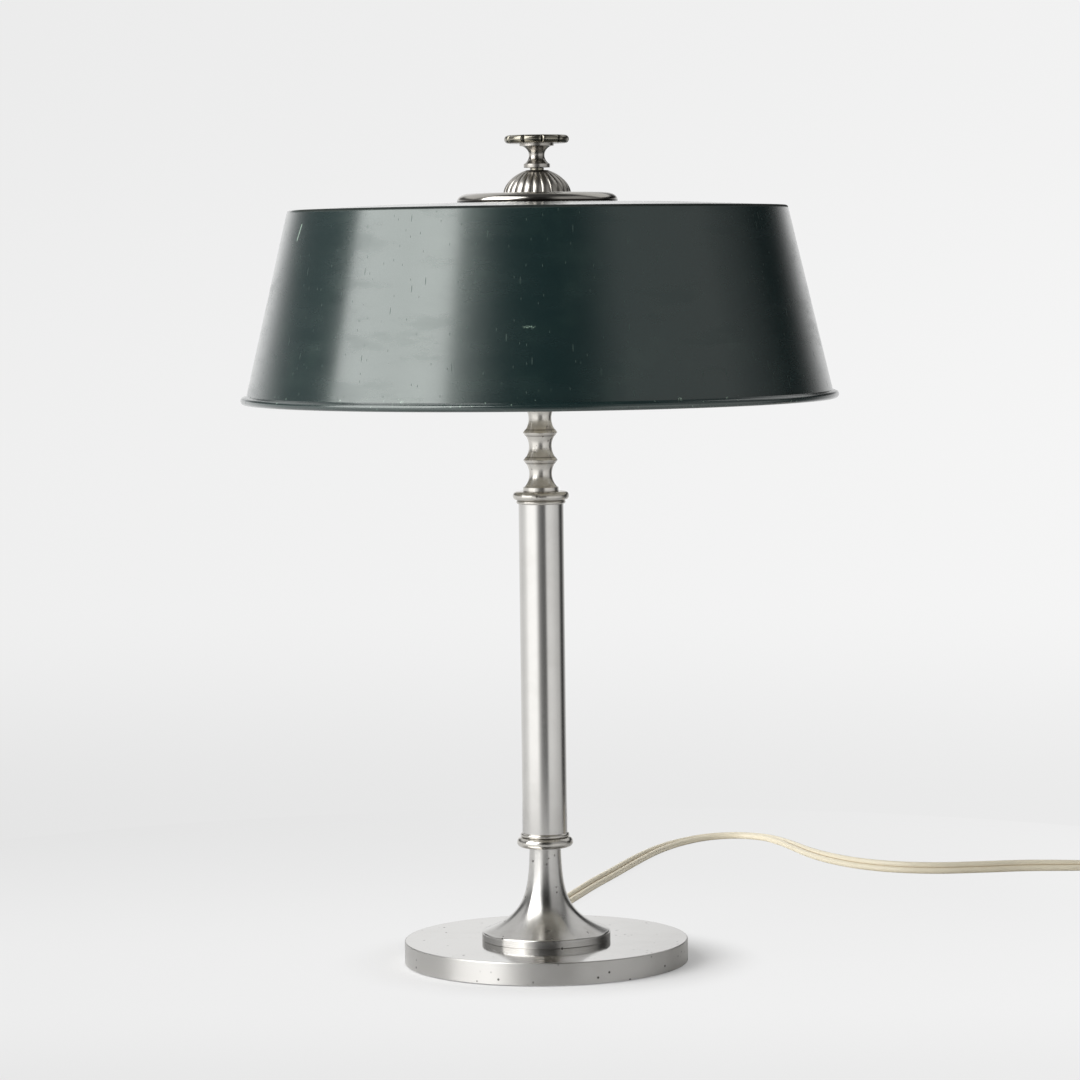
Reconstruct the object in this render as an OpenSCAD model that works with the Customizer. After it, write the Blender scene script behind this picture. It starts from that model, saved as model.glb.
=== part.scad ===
// Bouillotte table lamp: weighted disc base, turned column, metal cone shade, knob switch on top.
// Millimetres, +Z up, origin on the table at the centre of the base. The cord leaves at +Y.

/* [Base] */
// Diameter of the base disc
base_d = 160; // [140:1:200]
// Height of the polished base top above the table
base_h = 13; // [12.4:0.1:18]
// Radius of the rounded top edge of the base
base_edge_r = 1.2; // [0.6:0.1:1.6]
// Side wall of the spun base shell
base_wall = 1.8; // [1.2:0.1:3]
// Top sheet of the spun base shell
base_top_t = 1.2; // [1:0.1:1.4]
// Gap between the lower edge of the shell and the table
shell_lift = 0.5; // [0.3:0.1:1]
// Thickness of the felt pad
felt_t = 1.5; // [1.3:0.1:2]
// Gap between the shell's wall and the edge of the cover and felt
cover_gap = 1.4; // [1.2:0.1:4]
// Thickness of the steel bottom cover
cover_t = 1; // [0.8:0.1:1.2]
// Number of screws that hold the cover
cover_screw_count = 3; // [2:1:6]
// Radius of the circle on which the cover screws stand
cover_screw_ring = 58; // [30:1:64]

/* [Foot and collars] */
// Diameter of the foot's round flange
foot_d = 72.6; // [60:0.2:90]
// Height of the flange's edge
foot_lip_h = 4.9; // [3:0.1:8]
// Rounding of the flange's upper edge
foot_lip_r = 1.3; // [0.5:0.1:2]
// Overall height of the flared foot
foot_h = 52.3; // [40:0.1:80]
// Diameter that the flare runs out to at its neck
foot_neck_d = 17.2; // [15:0.1:24]
// Height over which the flare shrinks to about a third
flare_decay = 10; // [6:0.1:14]
// How far the collars' main rings stand out past the column
collar_stand = 3.2; // [2:0.1:5]
// How far the small beads beside the column stand out past it
bead_stand = 1.2; // [0.8:0.1:1.8]
// Height of the lower collar
lower_collar_h = 8.1; // [7:0.1:10]
// Height of the upper collar
upper_collar_h = 7; // [6:0.1:9]

/* [Column and stem] */
// Outer diameter of the column tube
column_d = 25.3; // [24:0.1:27]
// Wall of the column tube
column_wall = 1.5; // [1:0.1:2]
// Length of the column tube
column_h = 185.6; // [120:0.1:260]
// Diameter of the stem's lower flange
stem_flange_d = 20; // [19.8:0.1:24]
// Thickness of the stem's lower flange
stem_flange_t = 2.5; // [1:0.1:3]
// Diameter at the sharp rings of the stem
stem_ring_d = 19.2; // [17:0.1:20]
// Smallest diameter in the coves between the rings
stem_waist_d = 12.8; // [12:0.1:14.5]
// Radius of the coves between the rings
stem_cove_r = 10.7; // [9:0.1:14]
// Distance from ring to ring
stem_pitch = 15.45; // [12:0.05:18]
// Number of coves turned in the stem
stem_coves = 4; // [3:1:6]

/* [Threaded tube and cord] */
// Outer diameter of the threaded tubes
tube_d = 10; // [9.8:0.1:10.6]
// Bore of the threaded tubes
tube_bore = 8; // [7.9:0.1:8.2]
// Width of the flat twin flex
flex_w = 7.6; // [6:0.1:7.7]
// Thickness of the flat twin flex
flex_t = 3.8; // [3:0.1:4]

/* [Shade] */
// Largest diameter over the rolled rim of the shade
shade_d = 334.2; // [280:1:400]
// Height of the shade from the rolled rim's centre to its top edge
shade_h = 105.2; // [95:0.1:140]
// Inward lean of the cone, as radius lost for each millimetre of height
shade_lean = 0.237; // [0.1:0.005:0.4]
// Thickness of the shade's sheet
shade_t = 1; // [0.8:0.1:1.5]
// Radius of the rolled rim
shade_rim_r = 2.1; // [1.8:0.1:3]
// Radius of the turned-over top edge
shade_edge_r = 1.5; // [1.2:0.1:4]
// Rise of the crowned top plate
shade_crown = 2.9; // [2:0.1:6]
// Height of the shade's rim centre above the table
shade_z = 319.1; // [300:0.1:340]

/* [Cap, dome and knob] */
// Diameter of the cap disc
cap_d = 89.7; // [60:1:120]
// Thickness of the cap disc
cap_h = 5.4; // [4:0.1:8]
// Diameter of the fluted dome
dome_d = 38; // [32:0.1:50]
// Height of the fluted dome
dome_h = 12.7; // [11:0.1:16]
// Height that the dome's curve would reach without its flat top
dome_full_h = 13.7; // [13:0.1:18]
// Number of flutes round the dome
flute_count = 22; // [16:1:28]
// Depth of the valleys between the flutes at the dome's widest
flute_depth = 1.15; // [0.4:0.05:1.6]
// Diameter of the knob's scalloped disc
knob_d = 36.1; // [30:0.1:46]
// Thickness of the knob's scalloped disc
knob_t = 4.5; // [4:0.1:7]
// Number of petals round the knob
petal_count = 10; // [6:1:14]
// Depth of the grooves between the petals
petal_depth = 1.5; // [0.5:0.1:2]
// Height of the knob's spool
spool_h = 13.5; // [12.5:0.1:20]
// Diameter of the spool's waist
spool_waist_d = 8.7; // [8.6:0.1:12]
// Diameter of the rod that the knob turns
spindle_d = 6; // [5:0.1:6.4]

/* [Lampholders and bulbs] */
// Outer diameter of the lampholders
holder_d = 36; // [34:0.5:42]
// Length of a lampholder from its cap to its mouth
holder_h = 46; // [44:0.5:55]
// Wall of the lampholder shells
holder_wall = 1.2; // [0.8:0.1:1.6]
// Diameter of the bulbs' screw caps
bulb_cap_d = 26.2; // [26:0.1:26.6]
// Diameter of the round bulbs
bulb_d = 45; // [40:1:50]
// Length of a bulb with its cap
bulb_h = 78; // [74:1:84]

/* [Cluster and switch] */
// Outer diameter of the cluster that carries the lampholders
cluster_d = 42; // [40:0.5:50]
// Height of the cluster's cup
cluster_h = 36; // [36:0.5:46]
// Wall of the cluster's cup
cluster_wall = 1.8; // [1.4:0.1:2.5]
// Outer diameter of the switch
switch_d = 30; // [28:0.5:32]
// Height of the switch
switch_h = 14; // [12:0.5:15]

/* [Hidden] */
$fn = 64;

// Fits: radial gaps, apart from the running fit none of them moves.
thread_gap = 0.02;
slip_gap = 0.05;
loose_gap = 0.1;
running_gap = 0.05;
thrust_gap = 0.1;

// Colours of the materials
pewter = [0.66, 0.65, 0.62];
dark_pewter = [0.55, 0.53, 0.49];
lacquer = [0.13, 0.20, 0.20];
steel = [0.72, 0.73, 0.75];
brass = [0.80, 0.66, 0.34];
iron = [0.28, 0.28, 0.29];
porcelain = [0.93, 0.92, 0.88];
phenolic = [0.20, 0.13, 0.09];
flex_ivory = [0.88, 0.84, 0.76];
felt_green = [0.10, 0.22, 0.15];
opal = [0.96, 0.95, 0.92];

// Radii that several pieces share
base_r = base_d / 2;
foot_r = foot_d / 2;
foot_neck_r = foot_neck_d / 2;
column_r = column_d / 2;
column_bore_r = column_r - column_wall;
collar_r = column_r + collar_stand;
bead_r = column_r + bead_stand;
tube_r = tube_d / 2;
tube_bore_r = tube_bore / 2;
tube_hole_r = tube_r + loose_gap;
tapped_r = tube_r + thread_gap;
spindle_r = spindle_d / 2;

// Inside of the base, from the table up
shell_inner_r = base_r - base_wall;
cover_r = shell_inner_r - cover_gap;
cover_z = felt_t;
channel_z = cover_z + cover_t;
flex_gap = 0.2;
screw_end_gap = 0.2;
flex_z = channel_z + flex_gap + flex_t / 2;
channel_top = flex_z + flex_t / 2 + 2 * flex_gap;
channel_w = flex_w + 1.8;
flex_bend_inner = 2.3;
nut_across = 14;
nut_t = 2.5;
base_nut_z = channel_top;
lamp_tube_z = base_nut_z - flex_gap;
washer_t = 1;
washer_r = 17;
base_washer_z = base_nut_z + nut_t;
ballast_web_z = base_washer_z + washer_t;
ballast_r = shell_inner_r - loose_gap;
ballast_pocket_r = washer_r + 1;
shell_top_z = base_h - base_top_t;
screw_r = 1.5;
screw_head_r = 2.9;
screw_head_t = 1.2;
screw_length = 5;

// Strain relief bush in the rear of the base
bush_wall = 1.5;
bush_tip_wall = 0.7;
bush_root_w = flex_w + 2 * bush_wall;
bush_root_t = flex_t + 2 * bush_wall - 0.4;
bush_tip_w = flex_w + 2 * bush_tip_wall;
bush_tip_t = flex_t + 2 * bush_tip_wall;
bush_flange_w = bush_root_w + 2;
bush_flange_t = cover_gap - flex_gap;
bush_flange_y = shell_inner_r - bush_flange_t;
bush_tail = 22;
bush_tip_y = base_r + bush_tail;
hull_end_t = 0.4;

// Heights of the column's pieces
foot_z = base_h;
lower_collar_z = foot_z + foot_h;
column_z = lower_collar_z + lower_collar_h;
upper_collar_z = column_z + column_h;
stem_z = upper_collar_z + upper_collar_h;
stem_root_r = stem_flange_d / 2 - 0.72;
stem_cove_z = stem_z + stem_flange_t
    + sqrt(pow(stem_cove_r, 2) - pow(stem_cove_r + stem_waist_d / 2 - stem_root_r, 2));
stem_h = stem_cove_z - stem_z + (stem_coves - 0.5) * stem_pitch;
stem_ring_r = stem_ring_d / 2;
stem_ring_root_r = stem_ring_r - 1.1;
stem_ring_w = 1.7;
lower_bead_h = 2.5;
upper_bead_h = 2.2;
collar_spigot_h = 4;
collar_spigot_r = column_bore_r - slip_gap;
foot_steps = 40;
foot_recess_r = 28;
foot_recess_h = 2.5;

// Cluster, with the switch under its lid
cluster_z = stem_z + stem_h;
cluster_r = cluster_d / 2;
cluster_bore_r = cluster_r - cluster_wall;
cluster_floor = 2.5;
cluster_nut_z = cluster_z + cluster_floor;
lamp_tube_top = cluster_nut_z + nut_t + 0.5;
boss_r = 8.5;
boss_x = cluster_r + 3;
holder_z = cluster_z + cluster_floor + 12;
nipple_inset = 4.5;
nipple_h = boss_x - cluster_bore_r + nipple_inset;
cluster_top = cluster_z + cluster_h;
lid_t = 2.5;
lid_lip_t = 2;
lid_lip_h = 2;
lid_boss_r = 8;
lid_boss_h = 7.5;
lid_z = cluster_top;
switch_z = lid_z - switch_h;
switch_r = switch_d / 2;
switch_cavity_r = 10.4;
switch_base_r = switch_r - 2.5;
switch_floor = 3;
switch_roof = 2.5;
rotor_gap = 0.6;
rotor_z = switch_z + switch_floor + rotor_gap;
rotor_h = switch_h - switch_floor - switch_roof - 2 * rotor_gap;
rotor_tip_r = 9;
rotor_waist_r = 6.6;
rotor_lobe_w = 5;
blade_inset = 0.5;
rotor_socket = 4.1;
spindle_square = 4;
spindle_rivet_r = 2.8;
spindle_rivet_t = 0.3;
blade_t = 0.5;
blade_w = 5;
blade_h = rotor_h - 2 * blade_inset;
blade_tail = 1.5;
blade_y = rotor_tip_r + 0.35;
switch_screw_x = 12.4;
switch_screw_r = 1.25;
switch_screw_length = 8;
switch_screw_head_r = 2.3;
switch_screw_head_t = 1.4;

// Shade
shade_rim_c = shade_d / 2 - shade_rim_r;
shade_foot_r = shade_rim_c - 0.7;
shade_top_z = shade_z + shade_h;
function shade_r(z) = shade_foot_r - shade_lean * (z - shade_z);
shade_lip_w = 7.5;
shade_top_r = shade_r(shade_top_z);
shade_lip_r = shade_top_r - shade_lip_w;
seam_gap = 0.15;
rim_wire_r = 1;
lean_angle = atan(shade_lean);
edge_c = [shade_r(shade_top_z - shade_edge_r) - shade_edge_r / cos(lean_angle), shade_top_z - shade_edge_r];
plate_flat_r = cap_d / 2 + 1.5;
plate_rim_r = shade_top_r - shade_edge_r - 1;
plate_top_z = shade_top_z + shade_crown;
plate_steps = 12;
seat_flange_r = 20;
seat_flange_t = 3;
seat_hub_r = 8;
seat_hub_h = 6;
seat_z = plate_top_z - shade_t - seat_flange_t;

// Hanger tube, cap, dome and knob
cap_z = plate_top_z;
cap_r = cap_d / 2;
cap_edge_w = 7;
cap_edge_h = 4.2;
cap_edge_steps = 16;
cap_land_w = 3;
cap_recess_h = 0.6;
dome_z = cap_z + cap_h;
dome_r = dome_d / 2;
dome_top_z = dome_z + dome_h;
dome_rings = 12;
dome_bulge = 1.7;
dome_fullness = 0.55;
flute_steps = 8;
insert_r = 8;
insert_h = 8.5;
hanger_z = lid_z;
hanger_top = dome_z + insert_h;
bush_r = 3.9;
bush_stand = 1.3;
bush_h = 10;
bush_top = dome_top_z + bush_stand;
knob_z = bush_top + thrust_gap;
spool_body_r = 7.35;
spool_head_r = 9.6;
spool_head_t = 1.7;
spool_cove_r = 5.3;
spool_cove_z = knob_z + 6.8;
knob_disc_z = knob_z + spool_h;
knob_r = knob_d / 2;
petal_steps = 14;
knob_edge_steps = 6;
knob_screw_r = 1.5;
knob_screw_head_r = 3;
knob_screw_sink = knob_screw_head_r - knob_screw_r;
knob_screw_z = knob_disc_z - 9;
knob_turn = -62;
knob_screw_top = knob_disc_z + knob_t - 0.5;
spindle_top = knob_disc_z - 0.6;

// Lampholders, measured along their own axis from the boss of the cluster
cap_cone_h = 9;
cap_shoulder_h = 10;
cap_rim_h = 13;
cap_nose_t = 2;
cap_nose_r = 11;
holder_r = holder_d / 2;
core_t = 4;
core_r = holder_r - holder_wall - loose_gap;
core_boss_r = 12.2;
core_boss_t = 3;
core_hole_r = 1.4;
core_hole_y = 8;
shell_crimp = 0.8;
mouth_bead_r = 1;
thread_sleeve_t = 0.5;
thread_sleeve_r = bulb_cap_d / 2 + thread_gap + thread_sleeve_t;
thread_sleeve_h = 24;
contact_t = 0.8;
contact_r = 4.5;
contact_tail = 1.5;
contact_pip_r = 1.5;
contact_pip_h = 2;
rivet_r = 2.4;
bulb_tip = cap_rim_h + core_t + core_boss_t + contact_t + contact_pip_h;
bulb_cap_r = bulb_cap_d / 2;
bulb_cap_h = 24;
bulb_glass_t = 0.8;
bulb_neck_r = 11.5;

// Eight-sided outline of the flat flex: [sideways, upwards] shares of half its width and thickness
flex_outline = [
    [1, 0.45], [0.72, 1], [-0.72, 1], [-1, 0.45], [-1, -0.45], [-0.72, -1], [0.72, -1], [1, -0.45]
];
// Cord on the table, from the bush: [x, distance behind the bush's tip, share of the exit's height,
// degrees that the flex is rolled over from lying flat]
cord_steps = [
    [0, 0, 1, 0], [0, 16, 0.6, 0], [0, 34, 0.1, 5], [6, 66, 0, 15], [18, 110, 0, 25],
    [30, 153, 0, 30], [42, 192, 0, 30], [53, 229, 0, 28], [64, 265, 0, 22], [76, 299, 0, 14],
    [91, 329, 0, 8], [110, 352, 0, 4], [131, 359, 0, 2], [149, 348, 0, 4], [160, 325, 0, 10],
    [168, 297, 0, 20], [176, 269, 0, 32], [187, 243, 0, 45], [203, 219, 0, 56], [225, 202, 0, 62],
    [251, 195, 0, 65], [279, 197, 0, 65], [307, 201, 0, 62], [335, 201, 0, 50], [363, 201, 0, 25],
    [391, 201, 0, 0]
];
lying_z = flex_t / 2;
route = [
    for (p = cord_steps)
        [p[0], bush_tip_y + p[1], rolled_z(p[3]) + p[2] * (flex_z - lying_z), p[3]]
];
rings_per_span = 3;

// Coil of the cord that is stored: two layers of two turns
turn_w = flex_w + 0.2;
layer_h = flex_t + 0.1;
coil_x = 406;
coil_mid_r = 45.4;
coil_outer_r = coil_mid_r + turn_w;
coil_inner_r = coil_mid_r - turn_w;
coil_h = 2 * layer_h;
coil_chamfer = 1;
coil_y = bush_tip_y + 201 - coil_mid_r - turn_w / 2;
tie_t = 0.8;
tie_w = 8;
tie_angle = 200;

// Plug, with its tapered strain relief and the short lead from the coil's upper layer
plug_x = coil_x + coil_mid_r + turn_w / 2;
plug_t = 13.6;
plug_z = plug_t / 2 + 0.2;
relief_y = coil_y - 37.7;
relief_h = 24;
relief_tip_w = flex_w + 1.6;
relief_tip_t = flex_t + 1.6;
relief_root_w = 14;
relief_root_t = 9;
plug_y = relief_y - relief_h;
plug_length = 34;
plug_shoulder_w = 22;
plug_shoulder_h = 4;
plug_cheek_h = 18;
plug_face_w = 35;
pin_r = 2;
pin_spacing = 19;
pin_length = 19;
lead_z = lying_z + layer_h;
lead_route = [
    [plug_x, relief_y + 18, lead_z, 0], [plug_x, relief_y + 8, (lead_z + plug_z) / 2, 0],
    [plug_x, relief_y, plug_z, 0]
];

// ---- Shared shapes ----

// A ring or disc turned round the Z axis, from z0 to z1.
module turned(r_out, r_in, z0, z1) {
    translate([0, 0, z0])
        difference() {
            cylinder(r = r_out, h = z1 - z0);
            if (r_in > 0)
                translate([0, 0, -1])
                    cylinder(r = r_in, h = z1 - z0 + 2);
        }
}

// Outline of the flat twin flex, or of a hole for it: a bar with round ends, centred.
module obround(w, t) {
    square([w - t, t], center = true);
    for (side = [-1, 1])
        translate([side * (w - t) / 2, 0])
            circle(d = t, $fn = 48);
}

// Hexagon nut with a tapped hole, standing on z0.
module hex_nut(z0) {
    translate([0, 0, z0])
        difference() {
            cylinder(r = nut_across / sqrt(3), h = nut_t, $fn = 6);
            translate([0, 0, -1])
                cylinder(r = tapped_r, h = nut_t + 2);
        }
}

// Threaded tube from z0 to z1.
module threaded_tube(z0, z1) {
    turned(tube_r, tube_bore_r, z0, z1);
}

// How deep a point lies in the groove between two lobes, 0 on the lobe's crest and 1 in the groove.
function lobe_phase(angle, count) =
    let (turn = angle * count / 360 + 0.5) abs(2 * (turn - floor(turn)) - 1);

// Round lobe with a sharp valley
function round_valley(t) = 1 - sqrt(1 - 0.96 * t * t);

// Broad petal with a narrow groove
function narrow_valley(t) = pow(t, 9);

// A turned solid whose outline is a closed loop of [radius, height, groove depth] points.
module lobed_solid(outline, count, steps, narrow) {
    rings = len(outline);
    sides = count * steps;
    points = [
        for (p = outline, j = [0:sides - 1])
            let (a = 360 * j / sides, t = lobe_phase(a, count),
                 r = p[0] - p[2] * (narrow ? narrow_valley(t) : round_valley(t)))
                [r * cos(a), r * sin(a), p[1]]
    ];
    faces = [
        for (i = [0:rings - 1], j = [0:sides - 1])
            let (a = i * sides, b = (i + 1) % rings * sides, k = (j + 1) % sides)
                [a + j, b + j, b + k, a + k]
    ];
    polyhedron(points, faces, convexity = 6);
}

// Point between b and c on the smooth curve through a, b, c and d.
function between(a, b, c, d, t) =
    0.5 * (2 * b + (c - a) * t + (2 * a - 5 * b + 4 * c - d) * t * t
        + (3 * b - a - 3 * c + d) * t * t * t);

// Height of the flex's middle above the table when it lies rolled over by an angle.
function rolled_z(roll) =
    max([for (o = flex_outline) o[0] * flex_w / 2 * sin(roll) + o[1] * flex_t / 2 * cos(roll)]);

// A point of the cord, kept from sinking into the table.
function on_table(p) = [p[0], p[1], max(p[2], rolled_z(p[3])), p[3]];

// The smooth curve through a route's points, with a few rings on each span.
function curve(pts) = [
    for (i = [0:len(pts) - 2], s = [0:rings_per_span - 1])
        on_table(between(pts[max(i - 1, 0)], pts[i], pts[i + 1], pts[min(i + 2, len(pts) - 1)],
            s / rings_per_span)),
    pts[len(pts) - 1]
];

// Flat flex swept along a route of [x, y, z, roll] points.
module flex_tube(pts) {
    path = curve(pts);
    last = len(path) - 1;
    n = len(flex_outline);
    points = [
        for (i = [0:last])
            let (p = path[i], ahead = path[min(i + 1, last)] - path[max(i - 1, 0)],
                 across = [ahead[1], -ahead[0], 0] / norm([ahead[0], ahead[1]]), up = [0, 0, 1],
                 side = across * cos(p[3]) - up * sin(p[3]),
                 top = up * cos(p[3]) + across * sin(p[3]))
                for (o = flex_outline)
                    [p[0], p[1], p[2]] + side * o[0] * flex_w / 2 + top * o[1] * flex_t / 2
    ];
    walls = [
        for (i = [0:last - 1], j = [0:n - 1])
            let (k = (j + 1) % n) [i * n + j, i * n + k, (i + 1) * n + k, (i + 1) * n + j]
    ];
    start = [for (j = [n - 1:-1:0]) j];
    end = [for (j = [0:n - 1]) last * n + j];
    polyhedron(points, concat(walls, [start, end]), convexity = 6);
}

// ---- Base ----

module cover_screw_places() {
    for (i = [0:cover_screw_count - 1])
        rotate([0, 0, 360 * i / cover_screw_count + 30])
            translate([cover_screw_ring, 0, 0])
                children();
}

module felt_pad() {
    color(felt_green)
        difference() {
            turned(cover_r, 0, 0, felt_t);
            cover_screw_places()
                translate([0, 0, -1])
                    cylinder(r = screw_head_r + 0.5, h = felt_t + 2);
        }
}

module base_cover() {
    color(steel)
        difference() {
            turned(cover_r, 0, cover_z, cover_z + cover_t);
            cover_screw_places()
                translate([0, 0, cover_z - 1])
                    cylinder(r = screw_r + loose_gap, h = cover_t + 2);
        }
}

module cover_screws() {
    color(steel)
        cover_screw_places() {
            turned(screw_head_r, 0, cover_z - screw_head_t, cover_z);
            turned(screw_r, 0, cover_z, cover_z + screw_length);
        }
}

module ballast_disc() {
    color(iron)
        difference() {
            turned(ballast_r, tube_hole_r, channel_z, shell_top_z);
            translate([0, 0, channel_z - 1])
                cylinder(r = ballast_pocket_r, h = ballast_web_z - channel_z + 1);
            translate([-channel_w / 2, 0, channel_z - 1])
                cube([channel_w, base_r, channel_top - channel_z + 1]);
            translate([0, ballast_r, flex_z])
                rotate([90, 0, 0])
                    linear_extrude(height = 2 * bush_flange_t + 1, center = true)
                        obround(bush_flange_w + 1, bush_root_t + 2 * loose_gap);
            cover_screw_places()
                translate([0, 0, channel_z - 1])
                    cylinder(r = screw_r + thread_gap, h = screw_length + 1);
        }
}

module base_shell() {
    color(pewter)
        difference() {
            rotate_extrude($fn = 180)
                difference() {
                    union() {
                        translate([tube_hole_r, shell_lift])
                            square([base_r - base_edge_r - tube_hole_r, base_h - shell_lift]);
                        translate([base_r - base_edge_r - 1, shell_lift])
                            square([base_edge_r + 1, base_h - base_edge_r - shell_lift]);
                        translate([base_r - base_edge_r, base_h - base_edge_r])
                            circle(r = base_edge_r);
                    }
                    translate([tube_hole_r - 1, -1])
                        square([shell_inner_r - tube_hole_r + 1, shell_top_z + 1]);
                }
            translate([0, base_r - base_wall / 2, flex_z])
                rotate([90, 0, 0])
                    linear_extrude(height = 4 * base_wall, center = true)
                        obround(bush_root_w + 2 * slip_gap, bush_root_t + 2 * slip_gap);
        }
}

module base_nut() {
    color(brass) hex_nut(base_nut_z);
}

module base_washer() {
    color(steel) turned(washer_r, tube_hole_r, base_washer_z, base_washer_z + washer_t);
}

// Flexible bush: a round-ended plug through the wall with a tapered tail over the cord.
module cord_bush() {
    color(flex_ivory)
        difference() {
            union() {
                intersection() {
                    turned(shell_inner_r - slip_gap, 0, 0, base_h);
                    along_cord(bush_flange_y, bush_flange_t)
                        obround(bush_flange_w, bush_root_t);
                }
                along_cord(bush_flange_y, base_r - bush_flange_y)
                    obround(bush_root_w, bush_root_t);
                hull() {
                    along_cord(base_r, hull_end_t)
                        obround(bush_root_w, bush_root_t, $fn = 24);
                    along_cord(bush_tip_y - hull_end_t, hull_end_t)
                        obround(bush_tip_w, bush_tip_t, $fn = 24);
                }
            }
            along_cord(bush_flange_y - 1, bush_tip_y - bush_flange_y + 2)
                obround(flex_w + 2 * slip_gap, flex_t + 2 * slip_gap);
        }
}

// Extrudes an outline to the rear along the cord's line through the base, from y0.
module along_cord(y0, length) {
    translate([0, y0, flex_z])
        rotate([-90, 0, 0])
            linear_extrude(height = length)
                children();
}

// ---- Column ----

// Radius of the flared foot at a height above its lip; it falls off evenly, like a trumpet.
function flare_r(h) = foot_neck_r + (foot_r - foot_lip_r - foot_neck_r) * exp(-h / flare_decay);

module flared_foot() {
    flare_h = foot_h - foot_lip_h;
    outline = concat(
        [[tube_hole_r, 0], [foot_r, 0]],
        [for (i = [0:8]) let (a = 90 * i / 8)
            [foot_r - foot_lip_r * (1 - cos(a)), foot_lip_h - foot_lip_r * (1 - sin(a))]],
        [for (i = [1:foot_steps]) let (h = flare_h * pow(i / foot_steps, 1.6))
            [flare_r(h), foot_lip_h + h]],
        [[tube_hole_r, foot_h]]
    );
    color(pewter)
        translate([0, 0, foot_z])
            difference() {
                rotate_extrude($fn = 128)
                    polygon(outline);
                translate([0, 0, -1])
                    cylinder(r = foot_recess_r, h = foot_recess_h + 1);
            }
}

// Half-outline of a ring with a half-round edge, standing on z.
module ring_outline(r, z, h) {
    translate([tube_hole_r, z])
        square([r - h / 2 - tube_hole_r, h]);
    translate([r - h / 2, z + h / 2])
        circle(d = h);
}

// Half-outline of a collar standing on its main ring: ring, bead, then a spigot into the column.
module collar_outline(height, bead_h) {
    ring_h = height - bead_h;
    ring_outline(collar_r, 0, ring_h);
    ring_outline(bead_r, ring_h, bead_h);
    translate([tube_hole_r, height])
        square([collar_spigot_r - tube_hole_r, collar_spigot_h]);
}

module lower_collar() {
    color(pewter)
        translate([0, 0, lower_collar_z])
            rotate_extrude($fn = 96)
                collar_outline(lower_collar_h, lower_bead_h);
}

module column_tube() {
    color(pewter) turned(column_r, column_bore_r, column_z, column_z + column_h, $fn = 96);
}

module upper_collar() {
    color(pewter)
        translate([0, 0, upper_collar_z + upper_collar_h])
            mirror([0, 0, 1])
                rotate_extrude($fn = 96)
                    collar_outline(upper_collar_h, upper_bead_h);
}

// Stem of equal coves parted by sharp rings, on a flange; it ends halfway through a ring.
module turned_stem() {
    color(pewter)
        rotate_extrude($fn = 96)
            intersection() {
                union() {
                    stem_coved_outline();
                    for (i = [0:stem_coves - 1])
                        translate([0, stem_cove_z + (i + 0.5) * stem_pitch])
                            stem_ring_outline();
                }
                translate([tube_hole_r, stem_z])
                    square([stem_flange_d / 2, stem_h]);
            }
}

module stem_coved_outline() {
    difference() {
        union() {
            translate([tube_hole_r, stem_z])
                square([stem_flange_d / 2 - tube_hole_r, stem_flange_t]);
            translate([tube_hole_r, stem_z])
                square([stem_ring_r - tube_hole_r, stem_h]);
        }
        for (i = [0:stem_coves - 1])
            translate([stem_waist_d / 2 + stem_cove_r, stem_cove_z + i * stem_pitch])
                circle(r = stem_cove_r, $fn = 96);
    }
}

module stem_ring_outline() {
    polygon([
        [tube_hole_r, -stem_ring_w], [stem_ring_root_r, -stem_ring_w], [stem_ring_r, 0],
        [stem_ring_root_r, stem_ring_w], [tube_hole_r, stem_ring_w]
    ]);
}

module lamp_tube() {
    color(steel) threaded_tube(lamp_tube_z, lamp_tube_top);
}

// Flat flex inside the lamp: in through the bush, a tight bend, then up the threaded tube.
module inner_flex() {
    bend_r = flex_t / 2 + flex_bend_inner;
    color(flex_ivory) {
        along_cord(bend_r, bush_tip_y - bend_r)
            obround(flex_w, flex_t);
        translate([0, bend_r, flex_z + bend_r])
            rotate([0, -90, 0])
                rotate([0, 0, 180])
                    rotate_extrude(angle = 90)
                        translate([bend_r, 0])
                            rotate([0, 0, 90])
                                obround(flex_w, flex_t);
        translate([0, 0, flex_z + bend_r])
            linear_extrude(height = lamp_tube_top + 2 - flex_z - bend_r)
                obround(flex_w, flex_t);
    }
}

// ---- Cluster and switch ----

module cluster_body() {
    color(brass)
        difference() {
            union() {
                turned(cluster_r, 0, cluster_z, cluster_top, $fn = 96);
                translate([0, 0, holder_z])
                    rotate([0, 90, 0])
                        cylinder(r = boss_r, h = 2 * boss_x, center = true);
            }
            translate([0, 0, cluster_z + cluster_floor])
                cylinder(r = cluster_bore_r, h = cluster_h, $fn = 96);
            translate([0, 0, cluster_z - 1])
                cylinder(r = tube_hole_r, h = cluster_floor + 2);
            translate([0, 0, holder_z])
                rotate([0, 90, 0])
                    cylinder(r = tapped_r, h = 2 * boss_x + 2, center = true);
        }
}

module cluster_nut() {
    color(brass) hex_nut(cluster_nut_z);
}

module cluster_lid() {
    color(brass)
        difference() {
            union() {
                turned(cluster_r, 0, lid_z, lid_z + lid_t, $fn = 96);
                turned(lid_boss_r, 0, lid_z + lid_t, lid_z + lid_t + lid_boss_h);
                turned(cluster_bore_r - loose_gap, cluster_bore_r - lid_lip_t, lid_z - lid_lip_h, lid_z);
            }
            translate([0, 0, lid_z - 1])
                cylinder(r = tapped_r, h = lid_t + lid_boss_h + 2);
            for (side = [-1, 1])
                translate([side * switch_screw_x, 0, lid_z - 1])
                    cylinder(r = switch_screw_r + loose_gap, h = lid_t + 2);
        }
}

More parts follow.
